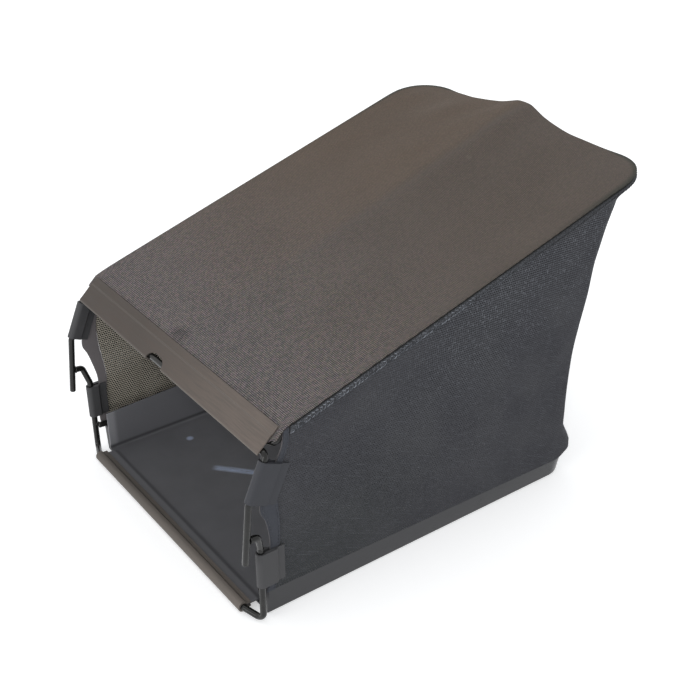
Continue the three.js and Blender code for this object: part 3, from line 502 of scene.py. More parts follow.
def pan_inside(look, place, outside, floor):
    """The pan's colour with painted fill light inside: walls and floor paler against their shade, more so to
    the rear and at the front lip, a mottled floor with a painted highlight, and 1 on its inner side.
    """
    x, y, z = look.axes(place)
    back = y - Y_SHIFT
    inside = x.size().ramp(PAN_UPPER_HALF - 1.6, PAN_UPPER_HALF - 0.6, 1.0, 0.0)
    inside = inside * back.ramp(PAN_REAR_Y - 4, PAN_REAR_Y - 3, 1.0, 0.0)
    # Painted fill light: the inner walls are painted paler against their shade, paler to the rear and palest
    # at the front lip
    wall = look.blend(back.ramp(10, 190), srgb(122, 122, 126), srgb(138, 138, 142))
    wall = look.blend(back.ramp(18, 26), srgb(156, 156, 160), wall)
    base = look.blend(inside * z.ramp(6, 12), outside, wall)
    # Painted fill light on the floor, mottled and paler to the rear
    floor_mottle = look.noise(place, 0.03, 4, 0.6).ramp(0.3, 0.7, 0.9, 1.0)
    dust_and_painted_fill = look.blend(back.ramp(20, 220), floor, srgb(146, 146, 150))
    base = look.blend(inside * floor_mottle * z.ramp(4, 9, 1.0, 0.0), base, dust_and_painted_fill)
    # Painted highlight on the floor, in bluish white
    return look.blend(floor_painted_highlight(look, x, back, z) * 0.85, base, srgb(205, 218, 245)), inside


def moulded_plastic(name, colour, pale, roughness, specular, floor=None):
    """Moulded plastic with a fine grain and pale scuffs; given a floor colour, it is the pan, with painted
    fill light and a painted highlight inside.
    """
    look = Look(name, **surface(1.46, specular))
    place = look.place()
    x, y, z = look.axes(place)
    grain = look.noise(place, 1.6, 3, 0.6)
    patch = look.noise(place, 0.012, 3, 0.55).ramp(0.3, 0.7)
    scratch = look.noise(look.joined(x * 0.05, y * 0.6, z * 0.6), 1.0, 4, 0.65)
    marks = scratch.ramp(0.62, 0.7)
    base = look.blend(patch * 0.3 + marks * 0.2, colour, pale)
    rough = roughness + patch * 0.08 + marks * 0.1 - grain * 0.06
    if floor is not None:
        base, inside = pan_inside(look, place, base, floor)
        rough = rough + inside * 0.04
    look.feed(
        base_color=look.blend(grain.ramp(0.3, 0.7, 0.0, 0.15), base, pale),
        roughness=rough,
        normal=look.bump(grain, 0.08, 0.6),
    )
    return look.material


def trim_plastic():
    """Warm grey strip with painted highlights along its lower edge and at the step, and paler towards its
    right end.
    """
    look = Look("warm_grey_trim", **surface(1.46, 0.2))
    place = look.place()
    x, y, z = look.axes(place)
    up = (y - Y_SHIFT) * math.cos(TRIM_TILT) + (z - TRIM_EDGE_Z) * math.sin(TRIM_TILT)
    streaks = look.noise(look.joined(x * 0.03, y * 0.5, z * 0.5), 1.0, 4, 0.6)
    grain = look.noise(place, 1.4, 3, 0.6)
    worn = look.noise(place, 0.02, 3).ramp(0.35, 0.7)
    lower_edge_highlight = up.ramp(0.6, 3.2, 1.0, 0.0)
    step_highlight = (up - (TRIM_BODY + 0.6)).size().ramp(0.4, 1.8, 1.0, 0.0)
    right_end = x.ramp(-120, 215)
    base = look.blend(right_end * 0.85, srgb(77, 70, 65), srgb(112, 102, 95))
    base = look.blend(worn * 0.12, base, srgb(112, 98, 92))
    base = look.blend(streaks.ramp(0.35, 0.7, 0.0, 0.45), base, srgb(80, 76, 73))
    # Painted highlights along the lower edge and at the step
    base = look.blend(lower_edge_highlight * 0.4 + step_highlight * 0.22, base, srgb(122, 117, 111))
    look.feed(
        base_color=base,
        roughness=0.5 + worn * 0.1 - streaks * 0.08,
        normal=look.bump(grain, 0.1, 0.5, look.bump(streaks, 0.25, 0.4)),
    )
    return look.material


def woven_cloth():
    """Plain weave of heathered yarns; greyer in front, browner to the rear, with the left half painted lit
    and the right half painted in shade.
    """
    look = Look("woven_top_cloth", **surface(1.4, 0.12, sheen_weight=0.04, sheen_roughness=0.5))
    u, v, _ = look.along_cloth()
    pitch = 2.2
    warp, weft = u * (1 / pitch), v * (1 / pitch)
    warp_wave, weft_wave = (warp * math.pi).sine(), (weft * math.pi).sine()
    over = (warp_wave * weft_wave * 3).ramp(-1, 1)
    warp_yarn = look.noise(look.joined(warp.floor(), v * 0.3), 2.3, 2, 0.7)
    weft_yarn = look.noise(look.joined(u * 0.3, weft.floor(), 7.0), 2.3, 2, 0.7)
    crown = warp_wave.size() * over + weft_wave.size() * (1 - over)
    yarn = warp_yarn * over + weft_yarn * (1 - over)
    float_tone, float_tint = look.cell_noise(look.joined(warp.floor(), weft.floor()))
    dots = (warp_wave * weft_wave).size()
    fleck = look.noise(look.joined(u * 0.9, v * 0.9, 4.0), 1.0, 2, 0.7)
    cloud = look.noise(look.joined(u * 0.008, v * 0.008), 1.0, 3, 0.5)
    x, y, _ = look.axes(look.place())
    back = y - Y_SHIFT
    to_rear = back.ramp(40, 420)
    contrast = back.ramp(40, 350, 1.1, 0.33)
    # Painted light: the left half of the ridged top is painted as lit and the right half as in shade
    left = (x + 18 - back * 0.03).ramp(-11, 11, 1.0, 0.0)
    shaded_right_half = look.blend(to_rear, srgb(93, 87, 84), srgb(89, 81, 75))
    lit_left_half = look.blend(to_rear, srgb(95, 88, 85), srgb(93, 82, 73))
    base = look.blend(left, shaded_right_half, lit_left_half)
    base = look.blend(contrast * 0.08, base, float_tint, "OVERLAY")
    base = look.blend(dots * back.ramp(30, 190, 0.3, 0.0), base, srgb(108, 106, 112))
    # Painted shade in the hollow behind the trim, and a painted highlight on the dent near the rear
    hollow, dent_highlight = spot(x, back, (-14, 40), (20, 14)), spot(x, back, (26, 445), (6, 4))
    mottled = (float_tone - 0.5) * 0.4 + (yarn - 0.5) * 0.4 + (fleck - 0.5) * 0.3
    tone = contrast * ((dots - 0.4) * 1.6 + mottled)
    tone = tone + (cloud - 0.5) * 0.25 + 1.0 - hollow * 0.3 + dent_highlight * 0.15
    out = (x.size() - (BODY_HALF - REAR_CORNER)).at_least(0.0)
    past = (back - (REAR_Y - REAR_CORNER)).at_least(0.0)
    rim = (out * out + past * past).root().ramp(REAR_CORNER - 9, REAR_CORNER - 1)
    base = look.blend(rim * back.ramp(380, 545, 0.1, 0.85), base, srgb(58, 60, 55))
    look.feed(
        base_color=look.scaled(base, tone),
        roughness=0.86 - crown * 0.1,
        normal=look.bump(crown + fleck * 0.4, 0.35, 0.5),
    )
    return look.material


def mesh_cloth():
    """Warp-knitted net with small staggered holes, painted glints on its loops below the seam, and painted
    light on its inner side.
    """
    look = Look("knitted_mesh_cloth", **surface(1.4, 0.12, sheen_weight=0.04, sheen_roughness=0.45))
    u, v, inner = look.along_cloth()
    # Distance from the nearest hole, in rows of holes that are set off against each other
    across, up = 3.3, 3.0
    row = v * (1 / up)
    column = u * (1 / across) + (row.floor() * 0.5).fraction()
    from_x = (column.fraction() - 0.5) * across
    from_y = (row.fraction() - 0.5) * up
    distance = (from_x * from_x * 0.7 + from_y * from_y).root()
    loops = look.noise(look.joined(u * 0.9, v * 1.6), 1.0, 2, 0.7)
    loop_tone, _ = look.cell_noise(look.joined(column.floor(), row.floor()))
    cloud = look.noise(look.joined(u * 0.011, v * 0.011), 1.0, 3, 0.5)
    frayed = distance + (loops - 0.5) * 0.4
    ridge = (row * 2 * math.pi).sine() * 0.5 + 0.5
    lattice = frayed.ramp(0.95, 1.4)
    _, y, z = look.axes(look.place())
    back = y - Y_SHIFT
    below_seam = back * RAIL_SLOPE + RAIL_ZERO_Z - z
    # Outer side: cloudy dark grey, ribs that slant along the bag, then painted highlights on the loops and
    # glints, and dark holes
    outer = look.blend(cloud.ramp(0.35, 0.7), srgb(66, 66, 70), srgb(75, 75, 78))
    outer = look.blend(below_seam.ramp(60, 230) * back.ramp(60, 300, 0.5, 0.0), outer, srgb(58, 62, 60))
    uneven = ridge * 0.15 + (loop_tone - 0.5) * 0.35 + loops.ramp(0.45, 0.75) * 0.2
    outer = look.blend(uneven, outer, srgb(88, 88, 93))
    slanting = z + u * 0.5
    glint, _ = look.cell_noise(look.joined((u * 0.6).floor(), (slanting * 0.5).floor(), 5.0))
    wales = (slanting * (2 * math.pi / 4.4)).sine().ramp(0.2, 1.0)
    broken = look.noise(look.joined(u * 0.06, slanting * 0.22), 1.0, 2, 0.6).ramp(0.48, 0.66)
    outer = look.blend(wales * broken * 0.55, outer, srgb(90, 92, 96))
    towards_rear = back.ramp(120, 330, 0.15, 0.85)
    clumps = look.noise(look.joined(u * 0.03, v * 0.05, 9.0), 1.0, 3, 0.7).ramp(0.35, 0.65, 0.65, 1.0)
    speckled = below_seam.ramp(20, 190, 1.0, 0.15) * towards_rear * clumps
    # Painted highlights: pale loops and glints in a band below the seam
    outer = look.blend(lattice * speckled * 0.7, outer, srgb(104, 106, 111))
    outer = look.blend((1.0 - lattice) * speckled * 0.75, outer, srgb(22, 22, 25))
    outer = look.blend(glint.ramp(0.84, 0.97) * speckled * 0.75, outer, srgb(122, 124, 130))
    # Inner side: painted light, pale lit loops round black holes, with painted shade deeper to the rear
    lit = look.blend(lattice, srgb(12, 11, 10), srgb(204, 196, 180))
    lit = look.blend((loop_tone - 0.3) * 0.25, lit, srgb(100, 96, 90))
    lit = look.blend(back.ramp(200, 420), lit, srgb(92, 90, 88))
    look.feed(
        base_color=look.blend(inner, outer, lit),
        roughness=0.82 - ridge * 0.1,
        alpha=frayed.ramp(0.28, 0.45),
        normal=look.bump(frayed.ramp(0.2, 1.0) + ridge * 0.6 + loops * 0.3, 0.35, 0.6),
    )
    return look.material


def bound_edge(name, dark, pale, inside, rib=1.1, glints=0.0):
    """Woven binding with fine ribs across its length; painted glints, if any, as pale specks that thin out to
    the rear, with painted shade under the top's edge.
    """
    look = Look(name, **surface(1.4, 0.12, sheen_weight=0.04, sheen_roughness=0.4))
    u, v, inner = look.along_cloth()
    ribs = (v * (math.pi / rib)).sine().size()
    threads = look.noise(look.joined(u * 1.3, v * 0.2), 1.0, 3, 0.7)
    cloud = look.noise(look.joined(u * 0.03, v * 0.03), 1.0, 3)
    base = look.blend(ribs * 0.25 + threads.ramp(0.4, 0.7) * 0.35 + cloud * 0.2, dark, pale)
    _, y, z = look.axes(look.place())
    back = y - Y_SHIFT
    if glints:
        below_seam = back * RAIL_SLOPE + RAIL_ZERO_Z - z
        # Painted glints: pale specks on the ribs, thinning out to the rear
        worn, _ = look.cell_noise(look.joined((u * 1.1).floor(), (v * 0.7).floor(), 2.0))
        glinted = worn.ramp(0.6, 0.9) * back.ramp(100, 480, glints, glints * 0.4)
        base = look.blend(glinted, base, srgb(122, 124, 130))
        # Painted shade in the gap under the edge of the top
        base = look.blend(below_seam.ramp(2.5, 5.5, 0.9, 0.0), base, srgb(42, 43, 42))
    look.feed(
        base_color=look.blend(inner, base, inside),
        roughness=0.76 + threads * 0.12,
        normal=look.bump(ribs + threads * 0.5, 0.25, 0.5),
    )
    return look.material


def thread(name, dark, pale, rear_tone):
    """Twisted sewing thread that is paler in front and duller to the rear."""
    look = Look(name, **surface(1.45, 0.2, sheen_weight=0.1))
    place = look.place()
    twist = look.noise(place, 1.8, 2)
    front_tone = look.blend(look.noise(place, 0.12, 2).ramp(0.35, 0.65), dark, pale)
    back = look.axes(place)[1] - Y_SHIFT
    look.feed(
        base_color=look.blend(back.ramp(200, 430), front_tone, rear_tone),
        roughness=0.6 + twist * 0.2,
        normal=look.bump(twist, 0.15, 0.5),
    )
    return look.material


WIRE = gloss_black_wire()
TRIM = trim_plastic()
CLIP = moulded_plastic("dark_grey_clip", srgb(72, 72, 73), srgb(88, 87, 89), 0.5, 0.2)
DARKER_CLIP = moulded_plastic("darker_grey_clip", srgb(61, 62, 66), srgb(77, 78, 83), 0.5, 0.2)
# The last colour is the pan's floor, painted paler as fill light against the shade inside
PAN = moulded_plastic("black_pan", srgb(57, 57, 59), srgb(69, 69, 72), 0.3, 0.3, srgb(112, 112, 115))
WOVEN = woven_cloth()
NET = mesh_cloth()
# The hem's inner side is painted paler as fill light against the shade inside the bag
HEM = bound_edge("hem_binding", srgb(67, 69, 75), srgb(85, 87, 93), srgb(124, 119, 120))
BINDING = bound_edge("seam_binding", srgb(58, 59, 61), srgb(78, 79, 83), srgb(50, 50, 52), 1.6, 0.8)
SEAM_THREAD = thread("pale_seam_thread", srgb(70, 72, 77), srgb(146, 150, 158), srgb(62, 63, 65))
HEM_THREAD = thread("dark_hem_thread", srgb(58, 60, 66), srgb(82, 84, 90), srgb(60, 60, 64))


# Making pieces


def piece(name, points, faces, finish, slot, replaced=()):
    """A smooth-shaded object from points in millimetres that rides on the bag."""
    mesh = bpy.data.meshes.new(name)
    mesh.from_pydata([(x * MM, (y + Y_SHIFT) * MM, z * MM) for x, y, z in points], [], faces)
    mesh.update()
    mesh.polygons.foreach_set("use_smooth", [True] * len(mesh.polygons))
    mesh.materials.append(finish)
    obj = bpy.data.objects.new(name, mesh)
    bpy.context.scene.collection.objects.link(obj)
    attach(obj, "root")
    if replaced:
        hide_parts(*replaced)
    return obj


END_CHAMFER = 0.45


def tube_mesh(path, radius, sides=16, dome=0.0):
    """Points and faces of a round wire along a path, with flat or domed ends."""
    line = [Vector(p) for p in path]
    run = [(line[min(i + 1, len(line) - 1)] - line[max(i - 1, 0)]).normalized() for i in range(len(line))]
    across = run[0].orthogonal().normalized()
    rings = []
    for i, at in enumerate(line):
        across = (across - run[i] * across.dot(run[i])).normalized()
        rings.append((at, run[i], across.copy(), radius))
    chamfer = max(dome, END_CHAMFER)
    start, end = rings[0], rings[-1]
    steps = (0.35, 0.7, 0.93)
    noses = []
    for at, along, side, sign in ((start[0], start[1], start[2], -1), (end[0], end[1], end[2], 1)):
        nose = []
        for t in steps:
            small = radius * math.sqrt(1 - t * t) if dome else radius - chamfer * (1 - math.sqrt(1 - t * t))
            nose.append((at + along * sign * chamfer * (t - (0 if dome else 1)), along, side, small))
        noses.append(nose)
    if not dome:
        rings[0] = (start[0] + start[1] * chamfer, *start[1:])
        rings[-1] = (end[0] - end[1] * chamfer, *end[1:])
    rings = noses[0][::-1] + rings + noses[1]
    points, faces = [], []
    for at, along, side, size in rings:
        other = along.cross(side)
        for k in range(sides):
            a = 2 * math.pi * k / sides
            points.append(tuple(at + side * (size * math.cos(a)) + other * (size * math.sin(a))))
    for j in range(len(rings) - 1):
        for k in range(sides):
            a, b = j * sides + k, j * sides + (k + 1) % sides
            faces.append((a, b, b + sides, a + sides))
    faces.append(tuple(range(sides))[::-1])
    last = (len(rings) - 1) * sides
    faces.append(tuple(range(last, last + sides)))
    return points, faces


def merged(parts):
    points, faces = [], []
    for more_points, more_faces in parts:
        shift = len(points)
        points += more_points
        faces += [tuple(i + shift for i in face) for face in more_faces]
    return points, faces


def bent(corners, radii, per_quarter=9):
    """A line through the corners with each one rounded to its own radius."""
    line = [Vector(corners[0])]
    for i, radius in enumerate(radii, 1):
        corner = Vector(corners[i])
        back = (Vector(corners[i - 1]) - corner).normalized()
        ahead = (Vector(corners[i + 1]) - corner).normalized()
        half = back.angle(ahead) / 2
        reach = radius / math.tan(half)
        centre = corner + (back + ahead).normalized() * (radius / math.sin(half))
        start, end = corner + back * reach - centre, corner + ahead * reach - centre
        sweep = start.angle(end)
        count = max(3, math.ceil(per_quarter * sweep / (math.pi / 2)))
        for k in range(count + 1):
            share = k / count
            arm = start * math.sin((1 - share) * sweep) + end * math.sin(share * sweep)
            line.append(centre + arm / math.sin(sweep))
    line.append(Vector(corners[-1]))
    return line


def both_sides(right):
    """The points of the right half, then their mirror images in the opposite order."""
    return list(right) + [(-p[0], p[1], p[2]) for p in reversed(right)]


def wire(name, line, dome=0.0):
    """A wire of the frame along a line, in place of the piece of the same name."""
    points, faces = tube_mesh(line, ROD_R, dome=dome)
    piece(name, points, faces, WIRE, "wire", [name.replace("_wire", "")])


def front_hoop_wire():
    corners = both_sides([(LEG_X, PIN_END_Y, PIN_END_Z), (LEG_X, KNEE_Y, KNEE_Z), (LEG_X, HOOP_Y, HOOP_Z)])
    wire("front_hoop_wire", bent(corners, [HOOP_BEND] * 4), dome=PIN_NOSE)


def rail_point(x, y, on_x=None):
    """A point of the upper wire under the top, whose height is read at x or at another place across."""
    return x, y, top_z(x if on_x is None else on_x, y, handle_rise) - RAIL_DROP


HUMP_INSET = RAIL_INSET + 0.6
FIRST_RAIL_Y, BAR_BEND = 46, 8.0


def upper_rail_wire():
    """Cross bar in the trim, side rails, round rear corners and the humped rear cross wire."""
    rail_x = BODY_HALF - RAIL_INSET
    radius = REAR_CORNER - RAIL_INSET
    corner = (rail_x, UPPER_BAR_Y, UPPER_BAR_Z)
    middle, rail_start = (GAP, UPPER_BAR_Y, UPPER_BAR_Z), rail_point(rail_x, FIRST_RAIL_Y, BODY_HALF)
    line = bent([middle, corner, rail_start], [BAR_BEND])
    line += [rail_point(rail_x, y, BODY_HALF) for y in spread(60, REAR_Y - REAR_CORNER, 24)]
    for degrees in spread(0, 90, 14)[1:]:
        angle = math.radians(degrees)
        x = rail_x - radius * (1 - math.cos(angle))
        line.append(rail_point(x, REAR_Y - RAIL_INSET - radius * (1 - math.sin(angle)), BODY_HALF))
    flat = rail_x - radius
    for x in spread(flat, 0, 40)[1:]:
        inset = mix(RAIL_INSET, HUMP_INSET, min(1.0, (flat - x) / 20))
        line.append(rail_point(x, REAR_Y - inset - rear_dip(x)))
    whole = both_sides([tuple(p) for p in line])
    del whole[len(line)]  # The middle of the rear is in both halves
    wire("upper_rail_hoop_wire", whole)


PIN_RUN = Vector((0, PIN_END_Y - KNEE_Y, PIN_END_Z - KNEE_Z)).normalized()
BEHIND_PIN = Vector((0, -PIN_RUN.z, PIN_RUN.y))
WELD = Vector((LEG_X, KNEE_Y + (WELD_Z - KNEE_Z) * PIN_RUN.y / PIN_RUN.z, WELD_Z))


def riser_hoop_wire():
    """Stub behind each hanging pin, knee, riser and the bottom cross bar."""
    corners = both_sides(
        [
            tuple(WELD + BEHIND_PIN * SEAT),
            tuple(WELD + BEHIND_PIN * (SEAT + STUB_LENGTH)),
            (RISER_X, RISER_Y, RISER_TOP_Z),
            (RISER_X, RISER_Y, BOTTOM_CORNER_Z),
            (BOTTOM_TRIM_HALF + 2, BOTTOM_BAR_Y, BOTTOM_BAR_Z),
        ]
    )
    radii = [STUB_BEND, STUB_BEND, BOTTOM_BEND, STUB_BEND]
    wire("riser_hoop_wire", bent(corners, radii + radii[::-1]))


def base_hoop_wire():
    start_y, beside_pan_y = RISER_Y + 1.5, PAN_FRONT_Y + 6
    corners = both_sides(
        [
            (RISER_X - ROD - GAP, start_y, base_wire_z(start_y)),
            (BASE_WIRE_HALF, beside_pan_y, base_wire_z(beside_pan_y)),
            (BASE_WIRE_HALF, BASE_WIRE_REAR, HOOP_REAR_Z),
        ]
    )
    wire("base_hoop_wire", bent(corners, [HOOP_REAR_BEND] * 4))


def stay_ends(sign):
    """Where a rear stay meets the middle lines of the upper wire and of the base wire."""
    wire_y = REAR_Y - HUMP_INSET - rear_dip(STAY_X)
    upper = Vector((sign * STAY_X, wire_y, top_z(STAY_X, wire_y, handle_rise) - RAIL_DROP))
    lower = Vector((sign * STAY_X, BASE_WIRE_REAR, HOOP_REAR_Z))
    return upper, lower, (lower - upper).normalized()


def rear_stay_wires():
    for side, sign in (("left", -1), ("right", 1)):
        upper, lower, down = stay_ends(sign)
        line = [upper + down * (SEAT + 1), lower - down * SEAT]
        points, faces = tube_mesh(line, ROD_R)
        piece(f"rear_stay_wire_{side}", points, faces, WIRE, "wire", [f"rear_stay_{side}"])


def weld_bead(at, axis, size):
    """A small uneven ring of weld where the end of a wire meets another wire."""
    axis = Vector(axis).normalized()
    side = axis.orthogonal().normalized()
    other = axis.cross(side)
    points, faces = [], []
    around, through = 28, 8
    for i in range(around):
        a = 2 * math.pi * i / around
        around_bead = Vector((2 * math.cos(a), 2 * math.sin(a), 0))
        lump = 1 + 0.22 * noise.noise(Vector(at) * 0.1 + around_bead)
        out = side * math.cos(a) + other * math.sin(a)
        for k in range(through):
            b = 2 * math.pi * k / through
            reach = size - 0.3 + 1.15 * lump * math.cos(b)
            points.append(tuple(Vector(at) + out * reach + axis * (1.05 * lump * math.sin(b))))
    for i in range(around):
        for k in range(through):
            a, b = i * through, ((i + 1) % around) * through
            after = (k + 1) % through
            faces.append((a + k, b + k, b + after, a + after))
    return points, faces


def weld_beads():
    """Beads where the stubs meet the pins, the stays meet both wires and the base wire meets the risers."""
    upper, lower, down = stay_ends(1)
    right = [
        (WELD + BEHIND_PIN * (SEAT + 0.3), BEHIND_PIN, ROD_R),
        (upper + down * (SEAT + 0.6), down, ROD_R),
        (lower - down * (SEAT + 0.1), down, ROD_R),
        (Vector((RISER_X - ROD_R - GAP / 2, RISER_Y + 2.4, base_wire_z(0))), (1, 0, 0), 2.2),
    ]
    parts = []
    for sign in (1, -1):
        for at, axis, size in right:
            parts.append(weld_bead((sign * at[0], at[1], at[2]), (sign * axis[0], axis[1], axis[2]), size))
    piece("weld_beads", *merged(parts), WIRE, "wire")


# Cloth


def lines_along(grid, axis):
    """Distance along each row (axis 1) or column (axis 0) of a grid of points."""
    steps = np.linalg.norm(np.diff(grid, axis=axis), axis=2)
    total = np.cumsum(steps, axis=axis)
    pad = [(0, 0), (0, 0)]
    pad[axis] = (1, 0)
    return np.pad(total, pad)


def normals_of(grid):
    """Unit normals at the points of a grid."""
    along = np.gradient(grid, axis=1)
    up = np.gradient(grid, axis=0)
    normal = np.cross(along, up)
    return normal / np.linalg.norm(normal, axis=2, keepdims=True)


def raised(grid, relief):
    """Moves a grid along its normals by a relief in millimetres."""
    return grid + normals_of(grid) * relief[..., None]


# Thickness of each cloth, doubled where it is folded
TOP_THICK, TAPE_THICK, NET_THICK, HEM_THICK = 1.2, 1.1, 1.0, 2.6


def cloth(name, grid, thickness, finish, slot, replaced, mirror=False):
    """A closed sheet of cloth over a grid of outer points, with rounded edges; its flat size and area are
    worked out.
    """
    rows, columns = grid.shape[:2]
    inner = grid - normals_of(grid) * thickness
    along, up = lines_along(grid, 1), lines_along(grid, 0)
    points = np.concatenate([grid.reshape(-1, 3), inner.reshape(-1, 3)])
    places = np.stack([along, up, np.zeros_like(along)], axis=2).reshape(-1, 3)
    places = np.concatenate([places, places + (0, 0, 1)])
    layer = rows * columns
    faces = []
    for j in range(rows - 1):
        for i in range(columns - 1):
            a = j * columns + i
            faces.append((a, a + 1, a + 1 + columns, a + columns))
            faces.append((a + layer, a + columns + layer, a + 1 + columns + layer, a + 1 + layer))
    for i in range(columns - 1):
        t = (rows - 1) * columns + i
        faces.append((i, i + layer, i + 1 + layer, i + 1))
        faces.append((t, t + 1, t + 1 + layer, t + layer))
    for j in range(rows - 1):
        s = j * columns
        e = s + columns - 1
        faces.append((s, s + columns, s + columns + layer, s + layer))
        faces.append((e, e + layer, e + columns + layer, e + columns))
    if mirror:
        points = points * np.array([-1, 1, 1])
        faces = [face[::-1] for face in faces]
    obj = piece(name, points.tolist(), faces, finish, slot, replaced)
    attribute = obj.data.attributes.new("cloth_mm", "FLOAT_VECTOR", "POINT")
    attribute.data.foreach_set("vector", places.astype(np.float32).ravel())
    bevel = obj.modifiers.new("rounded_edge", "BEVEL")
    bevel.width = thickness * 0.42 * MM
    bevel.segments = 3
    bevel.limit_method = "ANGLE"
    bevel.angle_limit = math.radians(60)
    width, length = float(along[:, -1].max()) * MM, float(up[-1].max()) * MM
    quads = np.linalg.norm(np.cross(grid[1:, 1:] - grid[:-1, :-1], grid[1:, :-1] - grid[:-1, 1:]), axis=2) / 2
    area = float(quads.sum()) * MM * MM
    area = min(area, width * length)


def wandering(x, y, scale, seed):
    """A smooth random value between about -1 and 1 that changes over the given distance."""
    return noise.noise(Vector((x / scale, y / scale, seed)))


def top_grid():
    """The woven top from under the trim to the rear edge, with its slack, crease, dent and hollow."""
    flat = BODY_HALF - REAR_CORNER
    arcs = [flat + REAR_CORNER * math.sin(math.radians(d)) for d in spread(0, 90, 16)[1:]]
    xs = [-x for x in reversed(arcs)] + spread(-flat, flat, 78) + arcs

    def start(x):
        share = smooth(abs(x), TRIM_HALF - 6, TRIM_HALF + 4)
        return trim_place(mix(TRIM_WALL + SEAT + ROD_R + 1.4, UPPER_BAR_AT + ROD_R, share), CLOTH_FACE_N)[0]

    def rear(x):
        past = abs(x) - flat
        if past <= 0:
            return REAR_Y - cloth_dip(x)
        return REAR_Y - REAR_CORNER + math.sqrt(max(0.0, REAR_CORNER**2 - past**2))

    shares = [0, 0.004, 0.01, 0.018, 0.03, 0.045, 0.065, 0.09]
    shares += spread(0.12, 0.94, 66) + [0.955, 0.97, 0.982, 0.99, 0.995, 1]
    ys = [[start(x) for x in xs]] + [[mix(FLANGE_END_Y, rear(x), share) for x in xs] for share in shares]
    grid = np.array([[(x, y, top_z(x, y)) for x, y in zip(xs, row)] for row in ys])
    relief = np.zeros(grid.shape[:2])
    for j, row in enumerate(grid):
        for i, (x, y, _) in enumerate(row):
            free = smooth(y, FLANGE_END_Y, FLANGE_END_Y + 30)
            free *= smooth(rear(x) - y, 6, 50) * smooth(BODY_HALF - abs(x), 6, 40)
            crease_x = mix(-16, 0, (y - 30) / 540)
            crease = -0.35 * math.exp(-(((x - crease_x) / 5) ** 2))
            dent = -1.6 * math.exp(-(((x - 26) / 20) ** 2) - ((y - 444) / 13) ** 2)
            hollow = -2.2 * math.exp(-(((x + 14) / 12) ** 2) - ((y - 46) / 10) ** 2)
            slack = 1.1 * wandering(x, y, 95, 3.0) + 0.35 * wandering(x, y, 28, 8.0)
            folds_from_hump = 0.9 * math.sin(math.atan2(x, 640 - y) * 16) * smooth(y, 330, 520)
            relief[j, i] = free * (crease + dent + slack + folds_from_hump) + smooth(y, 34, 46) * hollow
    return raised(grid, relief)


WALL_ROWS = spread(0, 1, 8) + spread(1, 1.12, 6)[1:] + spread(1.12, 1.86, 34)[1:] + spread(1.86, 2, 22)[1:]


def wall_ease(row):
    """0 at the base wire and at the seam, where the net is held, and 1 in the free height between them."""
    return smooth(row, 1.04, 1.25) * smooth(2 - row, 0.07, 0.3)


# The side and rear walls end just short of the line where they meet
WALL_END, HEM_MIDDLE_Y = 0.9985, 22


def side_grid():
    """The right net wall, slack in its middle, folded towards the rear corner and gathered above its foot."""
    shares = spread(0, SIDE_SHARE, 84) + spread(SIDE_SHARE, WALL_END, 12)[1:]
    rows = []
    for row in WALL_ROWS:
        front = hem_back_y(side_wall(HEM_MIDDLE_Y, 0, row)[2])
        rows.append([side_wall(front, share, row) for share in shares])
    grid = np.array(rows)
    relief = np.zeros(grid.shape[:2])
    for j, row in enumerate(WALL_ROWS):
        for i, share in enumerate(shares):
            _, y, z = grid[j, i]
            free = wall_ease(row) * smooth(y, 34, 90) * smooth(1 - share, 0, 0.2)
            belly = 2.2 * free * math.sin(math.pi * min(1, share / 0.95))
            slack = 1.5 * wandering(y, z, 80, 1.5) + 0.5 * wandering(y, z * 1.6, 26, 4.5)
            towards = math.atan2(400 - z, 590 - y)
            corner_folds = 1.1 * math.sin(towards * 22) * smooth(y, 330, 520)
            gathers = 0.35 * math.sin(y / 5.5 + 2 * wandering(y, z, 40, 2.0)) * smooth(y, 40, 70)
            above_foot = smooth(row, 1.02, 1.06) * smooth(1.3 - row, 0, 0.22)
            relief[j, i] = belly + free * (slack + corner_folds) + gathers * above_foot
    return raised(grid, relief)


def rear_shares(first):
    """Places along the rear wall, closer together round its corners."""
    start, end = spread(first, CORNER_SHARE, 12), spread(1 - CORNER_SHARE, 1 - first, 12)
    return start + spread(CORNER_SHARE, 1 - CORNER_SHARE, 70)[1:] + end[1:]


def rear_grid():
    """The rear net wall, which bulges a little between its stays."""
    shares = rear_shares(1 - WALL_END)
    grid = np.array([[rear_wall(share, row) for share in shares] for row in WALL_ROWS])
    relief = np.zeros(grid.shape[:2])
    for j, row in enumerate(WALL_ROWS):
        for i, share in enumerate(shares):
            x, _, z = grid[j, i]
            free = wall_ease(row) * smooth(min(share, 1 - share), 0.02, 0.14)
            stay = 1 - math.exp(-(((abs(x) - STAY_X) / 22) ** 2))
            slack = 1.3 * wandering(x, z, 80, 6.5) + 0.5 * wandering(x, z * 1.5, 26, 9.5)
            relief[j, i] = free * (1.2 + slack + 0.8 * stay)
    return raised(grid, relief)


def hem_grid():
    """The right front hem, in the slots of both clips."""
    rows = []
    for row in spread(0, 2, 90):
        z_here = side_wall(HEM_MIDDLE_Y, 0, row)[2]
        line = []
        for y in spread(hem_front_y(z_here), hem_back_y(z_here) - 2 * GAP, 8):
            z = side_wall(y, 0, row)[2]
            line.append((front_line_x(z) + HEM_THICK - CLOTH, y, z))
        rows.append(line)
    return np.array(rows)


TAPE_HIGH, TAPE_HIGH_REAR, TAPE_ROWS = 10, 5.5, 6


